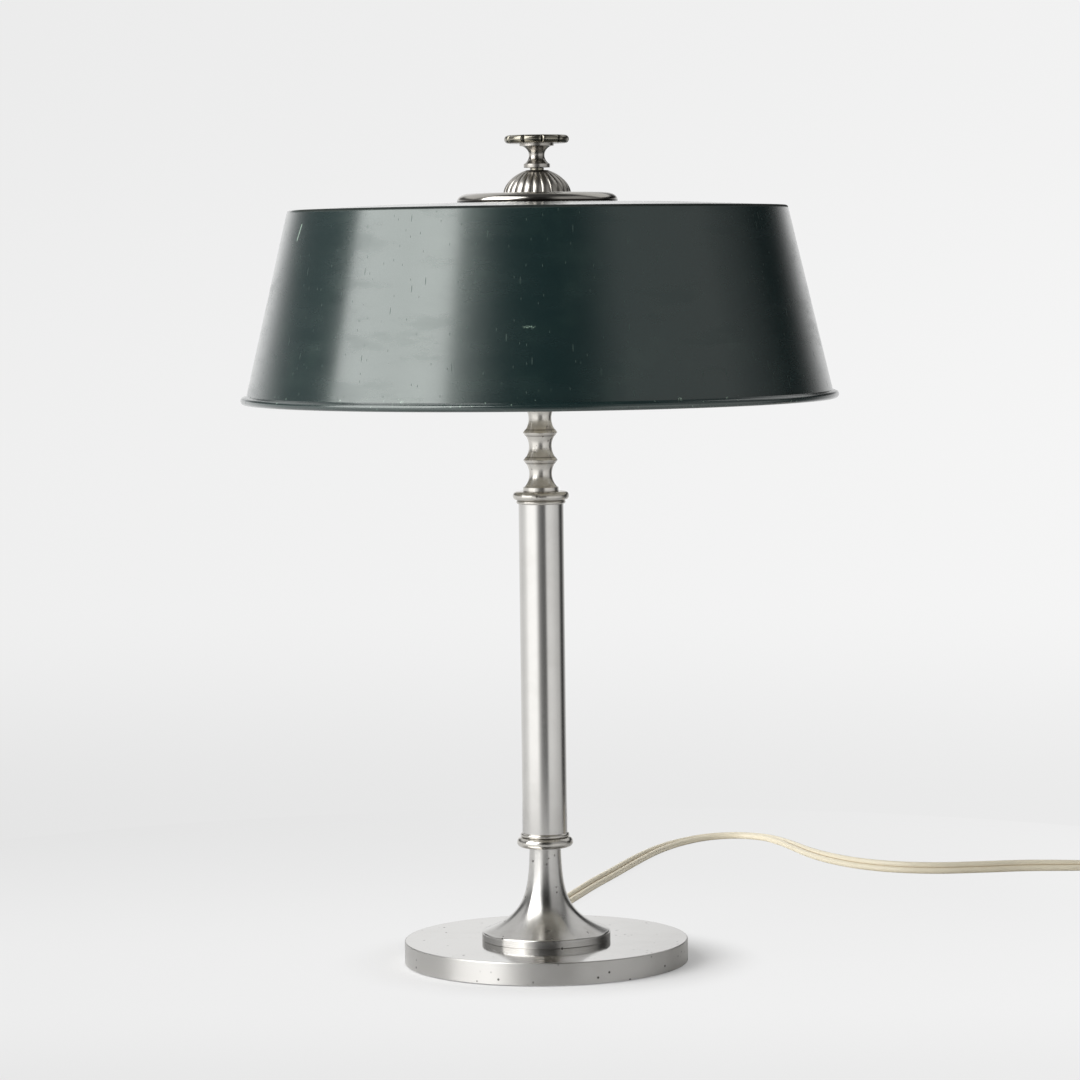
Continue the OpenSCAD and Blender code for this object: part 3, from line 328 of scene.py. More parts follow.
@dataclass(frozen=True)
class TurnedMetal(Finish):
    """Metal turned on a lathe: fine rings, a faint cloud of handling, and painted shade where asked
    for.

    Lengths are in metres, and pits go from 0 to 1. The edge is rougher past a radius, painted
    shadow lies up to a height, and painted shade lies in seams at given heights and between petals,
    whose first groove is at a bearing in degrees from the front.
    """

    colour: Rgb = (0.60, 0.59, 0.57)
    stain: Rgb = (0.30, 0.28, 0.25)
    roughness: float = 0.26
    cloud: float = 0.04
    stain_share: float = 0.25
    line_depth: float = 0.0000008
    pits: float = 0.0
    directional: float = 0.5
    edge_from: float = 0.0
    edge_roughness: float = 0.0
    painted_shadow_to: float = 0.0
    petals: int = 0
    first_groove: float = 0.0
    seams: tuple[float, ...] = ()

    RINGS = 2600.0
    RING_GLOSS = 0.35
    CLOUDS = 70.0
    BROAD_CLOUDS = 22.0
    STAIN_BAND = (0.44, 0.72)
    PIT = (0.05, 0.045, 0.04)
    PIT_CELLS = 230.0
    PIT_EDGE = (0.10, 0.20)
    PIT_DEPTH = 30.0
    EDGE_WIDTH = 0.0005
    # Painted shadow along a piece's foot where it meets the part below: its colour and fade.
    PAINTED_SHADOW_COLOUR = (0.02, 0.018, 0.015)
    PAINTED_SHADOW_FADE = 0.0003
    # Painted shade in the grooves between petals: its colour, width and the radius past which it
    # lies.
    VALLEY_SHADE_COLOUR = (0.03, 0.026, 0.02)
    VALLEY_WIDTH = (0.05, 0.16)
    VALLEY_FROM = 0.0150
    # Painted shade lines in creases at given heights: their colour and width.
    SEAM_SHADE_COLOUR = (0.08, 0.07, 0.06)
    SEAM_WIDTH = (0.00015, 0.0005)

    def write(self, recipe: Recipe) -> dict[str, Any]:
        """Rings follow the radius and the height; pits and clouds are lumps in space."""
        place = recipe.place()
        x, y, z = recipe.parts(place)
        radius = (x * x + y * y) ** 0.5
        off_axis = radius + 0.001
        ring = recipe.join(x / off_axis, y / off_axis, radius * self.RINGS)
        lines = recipe.noise(ring, 1.0, 3.0, 0.65, extra=z * self.RINGS)
        cloud = recipe.noise(place, self.CLOUDS, 4.0, 0.6)
        broad = recipe.noise(place, self.BROAD_CLOUDS, 2.0, 0.5)
        stain = (cloud * 0.6 + broad * 0.4).ramp(*self.STAIN_BAND, 0.0, self.stain_share)
        colour = recipe.mix(stain, self.colour, self.stain)
        rough = self.roughness + (cloud - 0.5) * (2.0 * self.cloud)
        rough = rough + (lines - 0.5) * (self.RING_GLOSS * self.roughness)
        height = lines
        if self.pits > 0.0:
            pit = self._pit(recipe, place)
            colour = recipe.mix(pit * 0.85, colour, self.PIT)
            rough = rough + pit * 0.3
            height = height - pit * self.PIT_DEPTH
        if self.edge_from > 0.0:
            edge = (radius - self.edge_from).ramp(0.0, self.EDGE_WIDTH)
            rough = rough + edge * (self.edge_roughness - self.roughness)
        # Painted shadow: darker up to a height, where the piece sits on the part below.
        if self.painted_shadow_to > 0.0:
            painted_shadow = (z - self.painted_shadow_to).ramp(0.0, -self.PAINTED_SHADOW_FADE)
            colour = recipe.mix(painted_shadow, colour, self.PAINTED_SHADOW_COLOUR)
        # Painted shade darkens the grooves between the petals.
        if self.petals > 0:
            turn = x.angle_from(-y) - math.radians(self.first_groove)
            valley = abs((turn * (self.petals / 2.0)).sine()).within(*self.VALLEY_WIDTH)
            outside = (radius - self.VALLEY_FROM).ramp(0.0, 0.001)
            colour = recipe.mix(valley * outside * 0.9, colour, self.VALLEY_SHADE_COLOUR)
        # Painted shade lines in the creases at the given heights.
        for seam in self.seams:
            dirt_and_shade = abs(z - seam).within(*self.SEAM_WIDTH)
            colour = recipe.mix(dirt_and_shade * 0.6, colour, self.SEAM_SHADE_COLOUR)
        return {
            "Base Color": colour,
            "Metallic": 1.0,
            "Roughness": rough,
            "Anisotropic": self.directional,
            "Anisotropic Rotation": 0.25,
            "Normal": recipe.bump(height, self.line_depth),
        }

    def _pit(self, recipe: Recipe, place: Signal) -> Signal:
        """1 in a pit: the middle of a cell of a fine pattern, where a coarse noise is high."""
        cells = {"Vector": place, "Scale": self.PIT_CELLS}
        speck = recipe.add("ShaderNodeTexVoronoi", {}, cells)["Distance"]
        rare = recipe.noise(place, 83.0, 1.0).ramp(0.62 - 0.1 * self.pits, 0.66)
        return speck.within(*self.PIT_EDGE) * rare


@dataclass(frozen=True)
class DullMetal(Finish):
    """Plated, cast or spun metal of the parts inside, with a grain that has no direction."""

    colour: Rgb = (0.55, 0.55, 0.56)
    dark: Rgb = (0.30, 0.30, 0.31)
    metallic: float = 1.0
    roughness: float = 0.35
    grain_scale: float = 1560.0
    cloud_scale: float = 91.0
    grain_depth: float = 0.00002
    spots: float = 0.35

    def write(self, recipe: Recipe) -> dict[str, Any]:
        """Fine grain for the bump, and a broad cloud of tarnish."""
        place = recipe.place()
        grain = recipe.noise(place, self.grain_scale, 2.0, 0.6)
        cloud = recipe.noise(place, self.cloud_scale, 4.0, 0.6)
        tarnish = cloud.ramp(0.42, 0.70, 0.0, self.spots)
        return {
            "Base Color": recipe.mix(tarnish, self.colour, self.dark),
            "Metallic": self.metallic,
            "Roughness": self.roughness + tarnish * 0.35 + (grain - 0.5) * 0.12,
            "Normal": recipe.bump(grain, self.grain_depth),
        }


@dataclass(frozen=True)
class Mark:
    """One straight mark on the unrolled cone, in metres; lean is sideways run for each metre up."""

    across: float
    level: float
    half_width: float
    half_height: float
    lean: float = 0.0

    def on(self, around: Signal, z: Signal) -> Signal:
        """1 on the mark, 0 elsewhere.

        Args:
            around: Metres round the unrolled cone from its front.
            z: Height in metres.

        Returns:
            The mark's share.
        """
        rise = z - self.level
        beside = abs(around - self.across - rise * self.lean)
        inside = beside.within(self.half_width * 0.5, self.half_width)
        return inside * abs(rise).within(self.half_height * 0.8, self.half_height)


@dataclass(frozen=True)
class Lacquer(Finish):
    """Black-green lacquer on the shade: soft gloss, handling clouds, flecks, rubbed marks and
    painted edge shade.

    Lengths are in metres; the bead is the rim roll, and the edge is the turned-over top one.
    """

    colour: Rgb = (0.0062, 0.0185, 0.0190)
    worn: Rgb = (0.030, 0.055, 0.046)
    bare: Rgb = (0.26, 0.36, 0.29)
    # Painted shade: the near-black colour of the line along the front of the top edge.
    edge: Rgb = (0.001, 0.001, 0.001)
    scratch: Mark = Mark(-0.1712, 0.4118, 0.0008, 0.0050, 0.30)
    scuff: Mark = Mark(-0.005, 0.3608, 0.0038, 0.0006)
    mean_radius: float = 0.15
    bead_top: float = 0.3205
    edge_z: float = 0.4226
    edge_radius: float = 0.1374

    # Cells for each metre round and up the cone, half width of a mark in cells, share without one.
    LONG_TICKS = (150.0, 15.0, 0.035, 0.42)
    SHORT_TICKS = (330.0, 75.0, 0.060, 0.72)
    SMUDGES = (22.0, 75.0)
    MOTTLE = 38.0
    CHIPS = 330.0
    GRIT = 1400.0
    BEAD_FADE = 0.006
    # The top edge carries painted shade and worn gloss up to the first distance from this place,
    # and is bright past the second.
    EDGE_SHADE_AT = 0.03
    EDGE_SHADE_TO = (0.205, 0.235)

    def write(self, recipe: Recipe) -> dict[str, Any]:
        """Ticks run down the cone; smudges lie round it; chips keep to the bead."""
        place = recipe.place()
        x, y, z = recipe.parts(place)
        around = x.angle_from(-y) * self.mean_radius
        smudge = recipe.noise(self._cells(recipe, around, z, *self.SMUDGES), 1.0, 5.0, 0.62)
        mottle = recipe.noise(place, self.MOTTLE, 4.0, 0.6)
        long_tick = self._ticks(recipe, around, z, *self.LONG_TICKS)
        tick = long_tick.most(self._ticks(recipe, around, z, *self.SHORT_TICKS))
        broken = recipe.noise(place, self.GRIT, 1.0).ramp(0.48, 0.56)
        bead = (z - self.bead_top).within(0.0, self.BEAD_FADE)
        chip = recipe.noise(place, self.CHIPS, 3.0, 0.6).ramp(0.675, 0.70) * bead
        rubbed = (self.scratch.on(around, z) * 1.2).most(self.scuff.on(around, z) * broken * 0.8)
        # Painted shade: a near-black line on the front of the top edge, whose gloss is also worn
        # dull.
        edge_wear_and_shade = self._edge_wear_and_shade(x, y, z, around)
        wear = tick * 0.7 + mottle.ramp(0.5, 0.8, 0.0, 0.25)
        colour = recipe.mix(wear, self.colour, self.worn)
        colour = recipe.mix(rubbed.most(chip * 0.8), colour, self.bare)
        handled = (smudge - 0.5).ramp(0.0, 0.2, 0.0, 0.24)
        height = smudge * 0.5 + mottle * 0.25 - tick * 0.12
        return {
            "Base Color": recipe.mix(edge_wear_and_shade * 0.8, colour, self.edge),
            "Roughness": 0.26 + (smudge - 0.5) * 0.20 + tick * 0.35 + edge_wear_and_shade * 0.70,
            "IOR": 1.6,
            "Specular Tint": (0.90, 1.0, 0.92),
            "Coat Weight": (1.0 - tick * 0.9 - handled) * (1.0 - edge_wear_and_shade),
            "Coat Roughness": 0.17,
            "Coat IOR": 1.5,
            "Normal": recipe.bump(height, 0.00018, 0.5),
        }

    def _edge_wear_and_shade(self, x: Signal, y: Signal, z: Signal, around: Signal) -> Signal:
        """1 on the front of the top edge: its gloss is worn and it is painted near-black as shade;
        its rear is still bright.
        """
        radius = (x * x + y * y) ** 0.5
        edge = (z - self.edge_z).ramp(0.0, 0.0007) * (radius - self.edge_radius).ramp(0.0, 0.0006)
        return edge * abs(around - self.EDGE_SHADE_AT).within(*self.EDGE_SHADE_TO)

    @staticmethod
    def _cells(recipe: Recipe, around: Signal, z: Signal, across: float, up: float) -> Signal:
        """Position on the unrolled cone, counted in cells for each metre round and up."""
        return recipe.join(around * across, z * up)

    def _ticks(
        self,
        recipe: Recipe,
        around: Signal,
        z: Signal,
        across: float,
        up: float,
        size: float,
        share_without: float,
    ) -> Signal:
        """Short upright marks, one at most in each cell of a stretched pattern.

        Args:
            recipe: The tree that takes the nodes.
            around: Metres round the unrolled cone from its front.
            z: Height in metres.
            across: Cells for each metre round.
            up: Cells for each metre up.
            size: Half width of a mark in cells.
            share_without: Share of the cells that have none.

        Returns:
            1 on a mark, 0 elsewhere.
        """
        where = {"Vector": self._cells(recipe, around, z, across, up), "Scale": 1.0}
        cells = recipe.add("ShaderNodeTexVoronoi", {"voronoi_dimensions": "2D"}, where)
        chance = recipe.parts(cells["Color"])[0].ramp(share_without, share_without + 0.05)
        return cells["Distance"].within(size * 0.7, size) * chance


@dataclass(frozen=True)
class Paint(Finish):
    """Sprayed paint or another smooth skin: orange peel, faint dirt and a little yellowing."""

    colour: Rgb = (0.80, 0.78, 0.72)
    dirt_and_shade: Rgb = (0.52, 0.47, 0.38)
    roughness: float = 0.42
    dirt_share: float = 0.25
    coat: float = 0.0

    PEEL = 420.0
    PEEL_DEPTH = 0.00003

    def write(self, recipe: Recipe) -> dict[str, Any]:
        """A fine peel under the gloss, with broad clouds of dirt."""
        place = recipe.place()
        peel = recipe.noise(place, self.PEEL, 1.0, 0.5)
        cloud = recipe.noise(place, 26.0, 4.0, 0.6)
        dirt_and_shade = cloud.ramp(0.45, 0.75, 0.0, self.dirt_share)
        return {
            "Base Color": recipe.mix(dirt_and_shade, self.colour, self.dirt_and_shade),
            "Roughness": self.roughness + dirt_and_shade * 0.3,
            "Coat Weight": self.coat,
            "Normal": recipe.bump(peel, self.PEEL_DEPTH),
        }


@dataclass(frozen=True)
class Felt(Finish):
    """Pressed wool felt: short crossed fibres and lint."""

    colour: Rgb = (0.022, 0.060, 0.038)
    lint: Rgb = (0.10, 0.14, 0.10)

    def write(self, recipe: Recipe) -> dict[str, Any]:
        """Two stretched noises cross each other as fibres do."""
        place = recipe.place()
        x, y, z = recipe.parts(place)
        deep = z * 2000.0
        one = recipe.noise(recipe.join(x * 900.0, y * 3800.0, deep), 1.0, 3.0, 0.7)
        two = recipe.noise(recipe.join(x * 3600.0, y * 1000.0, deep), 1.0, 3.0, 0.7)
        fibre = one.most(two)
        lint = recipe.noise(place, 1500.0, 2.0).ramp(0.62, 0.75)
        return {
            "Base Color": recipe.mix(lint * 0.6 + fibre * 0.25, self.colour, self.lint),
            "Roughness": 0.95,
            "Sheen Weight": 0.4,
            "Sheen Roughness": 0.5,
            "Normal": recipe.bump(fibre, 0.0002),
        }


@dataclass(frozen=True)
class FlexCover(Finish):
    """Aged ivory plastic of the twin flex, darker in the groove; read from the cord's own map."""

    colour: Rgb = (0.97, 0.89, 0.70)
    groove: Rgb = (0.42, 0.29, 0.15)
    stain: Rgb = (0.90, 0.80, 0.60)

    def write(self, recipe: Recipe) -> dict[str, Any]:
        """Across the map the grooves lie at the seam and half-way round."""
        run = recipe.add("ShaderNodeUVMap", {"uv_map": "Run"}, {})["UV"]
        along, across, _ = recipe.parts(run)
        groove = abs((across * TURN).sine()).within(0.0, 0.25)
        drift = recipe.noise(recipe.join(along * 22.0, across * 2.0), 1.0, 2.0, 0.5)
        speck = recipe.noise(recipe.place(), 260.0, 1.0, 0.5)
        stain = drift.ramp(0.45, 0.80, 0.0, 0.45)
        colour = recipe.mix(stain, self.colour, self.stain)
        return {
            "Base Color": recipe.mix(groove * 0.8, colour, self.groove),
            "Roughness": 0.38 + groove * 0.3 + stain * 0.15,
            "Normal": recipe.bump(speck, 0.000004),
        }


@dataclass(frozen=True)
class OpalGlass(Finish):
    """White bulb glass with a soft coat inside."""

    colour: Rgb = (0.86, 0.86, 0.84)
    shade: Rgb = (0.74, 0.74, 0.71)

    def write(self, recipe: Recipe) -> dict[str, Any]:
        """Nearly even white with a faint greyer cloud."""
        cloud = recipe.noise(recipe.place(), 60.0, 3.0, 0.5)
        return {
            "Base Color": recipe.mix(cloud.ramp(0.4, 0.8, 0.0, 0.3), self.colour, self.shade),
            "Roughness": 0.22 + cloud * 0.06,
            "Coat Weight": 0.6,
            "Coat Roughness": 0.06,
            "Subsurface Weight": 0.2,
            "Subsurface Radius": (0.01, 0.01, 0.01),
        }


class Finishes:
    """The finishes of the whole lamp, each named once."""

    BASE = TurnedMetal(
        "base_pewter", roughness=0.06, pits=0.85, stain_share=0.12, directional=0.9, cloud=0.01,
        edge_from=0.0790, edge_roughness=0.42,
    )
    FOOT = TurnedMetal(
        "foot_pewter", roughness=0.24, pits=0.9, stain_share=0.30, directional=0.9,
    )
    COLUMN = TurnedMetal("column_pewter", roughness=0.16, stain_share=0.12)
    # The stem carries painted shade lines in the creases at its ring shoulders.
    STEM = TurnedMetal(
        "stem_pewter", colour=(0.61, 0.59, 0.55), roughness=0.22, pits=0.9, stain_share=0.35,
        directional=0.9, seams=(0.28183, 0.28523, 0.29728, 0.30068, 0.31273, 0.31613),
    )
    # The cap carries a painted shadow along its foot, where it meets the shade's plate.
    CAP = TurnedMetal(
        "cap_pewter", colour=(0.50, 0.48, 0.44), roughness=0.17, pits=0.4, painted_shadow_to=0.4288,
    )
    CAST = TurnedMetal(
        "cast_pewter", colour=(0.41, 0.39, 0.355), roughness=0.30, pits=0.3, directional=0.0,
        line_depth=0.00000005,
    )
    # The knob carries painted shade in the grooves between its petals.
    KNOB = TurnedMetal(
        "aged_pewter", colour=(0.27, 0.255, 0.21), stain=(0.13, 0.115, 0.085), roughness=0.24,
        stain_share=0.45, pits=0.3, directional=0.0, line_depth=0.00000005, petals=10,
        first_groove=-62.0,
    )
    SPOOL = TurnedMetal(
        "spool_pewter", colour=(0.42, 0.40, 0.37), roughness=0.24, stain_share=0.4, pits=0.2,
        line_depth=0.00000015,
    )
    LACQUER = Lacquer("shade_lacquer")
    SHADE_INSIDE = Paint("shade_inside_paint", roughness=0.45)
    STEEL = DullMetal("zinc_steel", (0.58, 0.58, 0.57), roughness=0.34)
    IRON = DullMetal("cast_iron", (0.10, 0.10, 0.10), (0.16, 0.08, 0.04), 0.6, 0.6)
    BRASS = DullMetal("aged_brass", (0.44, 0.35, 0.20), (0.22, 0.16, 0.08), roughness=0.36)
    HOLDER = DullMetal("holder_metal", (0.40, 0.37, 0.31), (0.20, 0.17, 0.13), roughness=0.38)
    BULB_METAL = DullMetal(
        "bulb_cap_metal", (0.66, 0.66, 0.65), (0.45, 0.45, 0.44), roughness=0.28,
    )
    PORCELAIN = Paint(
        "glazed_porcelain", (0.82, 0.81, 0.77), (0.60, 0.55, 0.45), roughness=0.25, coat=0.5,
    )
    PHENOLIC = Paint(
        "brown_phenolic", (0.055, 0.028, 0.016), (0.09, 0.05, 0.03), roughness=0.32, coat=0.3,
    )
    MOULDING = Paint(
        "ivory_moulding", (0.72, 0.64, 0.49), (0.50, 0.40, 0.27), roughness=0.40, dirt_share=0.4,
    )
    TIE = Paint("black_tie", (0.018, 0.018, 0.018), (0.05, 0.05, 0.05), roughness=0.5)
    OPAL = OpalGlass("opal_bulb_glass")
    FELT = Felt("green_felt")
    FLEX = FlexCover("ivory_flex")


# ---------------------------------------------------------------- surfaces


def grid_faces(rows: int, columns: int, close_rows: bool, close_columns: bool) -> np.ndarray:
    """Quads of a grid whose point in row i and column j is number i * columns + j.

    Args:
        rows: Number of rows of points.
        columns: Number of points in a row.
        close_rows: Whether the last row joins the first.
        close_columns: Whether the last column joins the first.

    Returns:
        An array of four corner numbers for each quad.
    """
    i, j = np.meshgrid(
        np.arange(rows if close_rows else rows - 1),
        np.arange(columns if close_columns else columns - 1),
        indexing="ij",
    )
    k, m = (i + 1) % rows, (j + 1) % columns
    corners = [i * columns + j, i * columns + m, k * columns + m, k * columns + j]
    return np.stack(corners, axis=-1).reshape(-1, 4)


def cap_face(first: int, count: int, upward: bool) -> np.ndarray:
    """One face over a closed row of points.

    Args:
        first: Number of the row's first point.
        count: Number of points in the row.
        upward: Whether it closes the last row of a grid, not the first.

    Returns:
        An array with one face.
    """
    ring = np.arange(first, first + count)
    return (ring if upward else ring[::-1]).reshape(1, -1)


def bar_faces(rings: int, columns: int) -> list[np.ndarray]:
    """Faces of a closed bar whose rings go round clockwise, seen from its far end.

    Args:
        rings: Number of rings along the bar.
        columns: Number of points in a ring.

    Returns:
        Its walls and both ends.
    """
    walls = grid_faces(rings, columns, False, True)[:, ::-1]
    return [walls, cap_face(0, columns, True), cap_face((rings - 1) * columns, columns, False)]


def spun(r: np.ndarray, z: np.ndarray, angle: np.ndarray) -> np.ndarray:
    """Points (r cos a, r sin a, z), one row for each radius and one column for each angle."""
    return np.stack([r * np.cos(angle), r * np.sin(angle), z + 0.0 * angle], axis=-1)


def round_turn(count: int) -> np.ndarray:
    """Equal angles once round, in radians."""
    return np.linspace(0.0, TURN, count, endpoint=False)


def make_piece(
    name: str,
    points: np.ndarray,
    faces: Sequence[np.ndarray],
    crease: float = 32.0,
    run_map: np.ndarray | None = None,
) -> bpy.types.Object:
    """Puts points and faces into a new object at the origin.

    Args:
        name: Name of the piece.
        points: Positions in millimetres, one row for each point.
        faces: Arrays of corner numbers, each with its own number of corners.
        crease: Angle in degrees past which an edge is sharp.
        run_map: Pattern positions for each corner of the quads, if the finish needs them.

    Returns:
        The new object.
    """
    mesh = bpy.data.meshes.new(name)
    listed = [face for group in faces for face in group.tolist()]
    mesh.from_pydata((points.reshape(-1, 3) * MM).tolist(), [], listed)
    if run_map is not None:
        layer = mesh.uv_layers.new(name="Run")
        corners = np.zeros((len(mesh.loops), 2), dtype=np.float32)
        corners[: len(run_map)] = run_map
        layer.data.foreach_set("uv", corners.ravel())
    mesh.update()
    mesh.shade_smooth()
    mesh.set_sharp_from_angle(angle=math.radians(crease))
    piece = bpy.data.objects.new(name, mesh)
    bpy.context.scene.collection.objects.link(piece)
    return piece


@dataclass
class Outline:
    """Half outline of a turned piece as [radius, height] points in millimetres.

    It goes up the outside and back down the inside, so that its faces point outwards.
    """

    points: list[Point] = field(default_factory=list)
    easing: float = 0.04

    def at(self, radius: float, height: float) -> "Outline":
        """Adds one point."""
        self.points.append((radius, height))
        return self

    def to(self, radius: float, height: float) -> "Outline":
        """Adds a straight run, with a point close to each of its ends to keep it flat."""
        (r, z) = self.points[-1]
        length = math.hypot(radius - r, height - z)
        if length > 4.0 * self.easing:
            share = self.easing / length
            for s in (share, 1.0 - share):
                self.points.append((r + (radius - r) * s, z + (height - z) * s))
        self.points.append((radius, height))
        return self

    def arc(self, centre: Point, radius: float, start: float, end: float, steps: int) -> "Outline":
        """Adds an arc.

        Args:
            centre: Its middle.
            radius: Its radius.
            start: Angle of its first point in degrees.
            end: Angle of its last point in degrees.
            steps: Number of equal steps between them.

        Returns:
            The outline itself.
        """
        angle = np.radians(np.linspace(start, end, steps + 1))
        r = centre[0] + radius * np.cos(angle)
        z = centre[1] + radius * np.sin(angle)
        for point in zip(r.tolist(), z.tolist()):
            if not self.points or math.dist(point, self.points[-1]) > 0.001:
                self.points.append(point)
        return self

    def low_corner(self, r: float, z: float, size: float = 0.3, steps: int = 4) -> "Outline":
        """Rounds the lower outer corner that lies at a radius and height."""
        return self.arc((r - size, z + size), size, -90, 0, steps)

    def high_corner(self, r: float, z: float, size: float = 0.3, steps: int = 4) -> "Outline":
        """Rounds the upper outer corner that lies at a radius and height."""
        return self.arc((r - size, z - size), size, 0, 90, steps)

    def ring(self, radius: float, z: float, height: float) -> "Outline":
        """Adds a ring with a half-round edge, up from a height."""
        half = height / 2.0
        self.to(radius - half, z)
        return self.arc((radius - half, z + half), half, -90, 90, 16)

    def along(self, radii: np.ndarray, heights: np.ndarray) -> "Outline":
        """Adds the points of a curve that is already worked out."""
        self.points.extend(zip(radii.tolist(), heights.tolist()))
        return self


def turned(node: str, outline: Outline, sides: int, crease: float = 32.0) -> bpy.types.Object:
    """Turns an outline once round the lamp's axis.

    A point is (r cos a, r sin a, z), where r and z come from the outline and a goes once round.

    Args:
        node: The CAD node that it stands for, after which the piece is named.
        outline: A closed half outline; points on the axis become poles.
        sides: Number of points round the axis.
        crease: Angle in degrees past which an edge is sharp.

    Returns:
        The new object.
    """
    name = f"{node}_piece"
    profile = np.array(outline.points)
    on_axis = profile[:, 0] < 1e-6
    around = round_turn(sides)
    rings = profile[~on_axis]
    grid = spun(rings[:, :1], rings[:, 1:2], around)
    if not on_axis.any():
        return make_piece(name, grid, [grid_faces(len(rings), sides, True, True)], crease)
    bottom, top = profile[on_axis][0], profile[on_axis][-1]
    last = (len(rings) - 1) * sides
    j = np.arange(sides)
    k = (j + 1) % sides
    low, high = len(rings) * sides, len(rings) * sides + 1
    points = np.vstack([grid.reshape(-1, 3), [[0.0, 0.0, bottom[1]], [0.0, 0.0, top[1]]]])
    fans = [
        np.stack([np.full(sides, low), k, j], axis=1),
        np.stack([last + j, last + k, np.full(sides, high)], axis=1),
    ]
    return make_piece(name, points, [grid_faces(len(rings), sides, False, True), *fans], crease)


def lobed(
    name: str,
    profile: np.ndarray,
    count: int,
    per_lobe: int,
    start: float,
    groove: Callable[[np.ndarray], np.ndarray],
) -> bpy.types.Object:
    """Turns an outline whose radius dips between lobes.

    A point is (R cos a, R sin a, z) with R = r - depth * groove(t), where t is 0 on a lobe's crest
    and 1 half-way to the next one.

    Args:
        name: Name of the piece.
        profile: Rows of radius, height and groove depth, a closed loop.
        count: Number of lobes.
        per_lobe: Points round one lobe.
        start: Angle in degrees of the first crest.
        groove: Shape of the groove, from 0 on the crest to 1 in the valley.

    Returns:
        The new object.
    """
    sides = count * per_lobe
    share = np.arange(sides) / sides
    turn = share * count + 0.5
    t = np.abs(2.0 * (turn - np.floor(turn)) - 1.0)
    r = profile[:, :1] - profile[:, 2:3] * groove(t)
    points = spun(r, profile[:, 1:2], TURN * share + math.radians(start))
    return make_piece(name, points, [grid_faces(len(profile), sides, True, True)], 50.0)


def settle(
    piece: bpy.types.Object,
    finish: Finish,
    stands_for: Sequence[str] = (),
    body: Body = Body.LAMP,
) -> bpy.types.Object:
    """Dresses a new piece, fixes it to its body and hides the CAD nodes that it stands for.

    Args:
        piece: The new object.
        finish: Its finish.
        stands_for: CAD nodes that it replaces, if not just the one that it is named after.
        body: The body that it moves with.

    Returns:
        The same object.
    """
    if not piece.data.materials:
        piece.data.materials.append(finish.material())
    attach(piece, body.value)
    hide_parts(*(stands_for or [piece.name.removesuffix("_piece")]))
    faces = len(piece.data.polygons)
    LOG.info("%s on %s, finish %s, %d faces", piece.name, body.value, finish.name, faces)
    return piece


# ---------------------------------------------------------------- studio


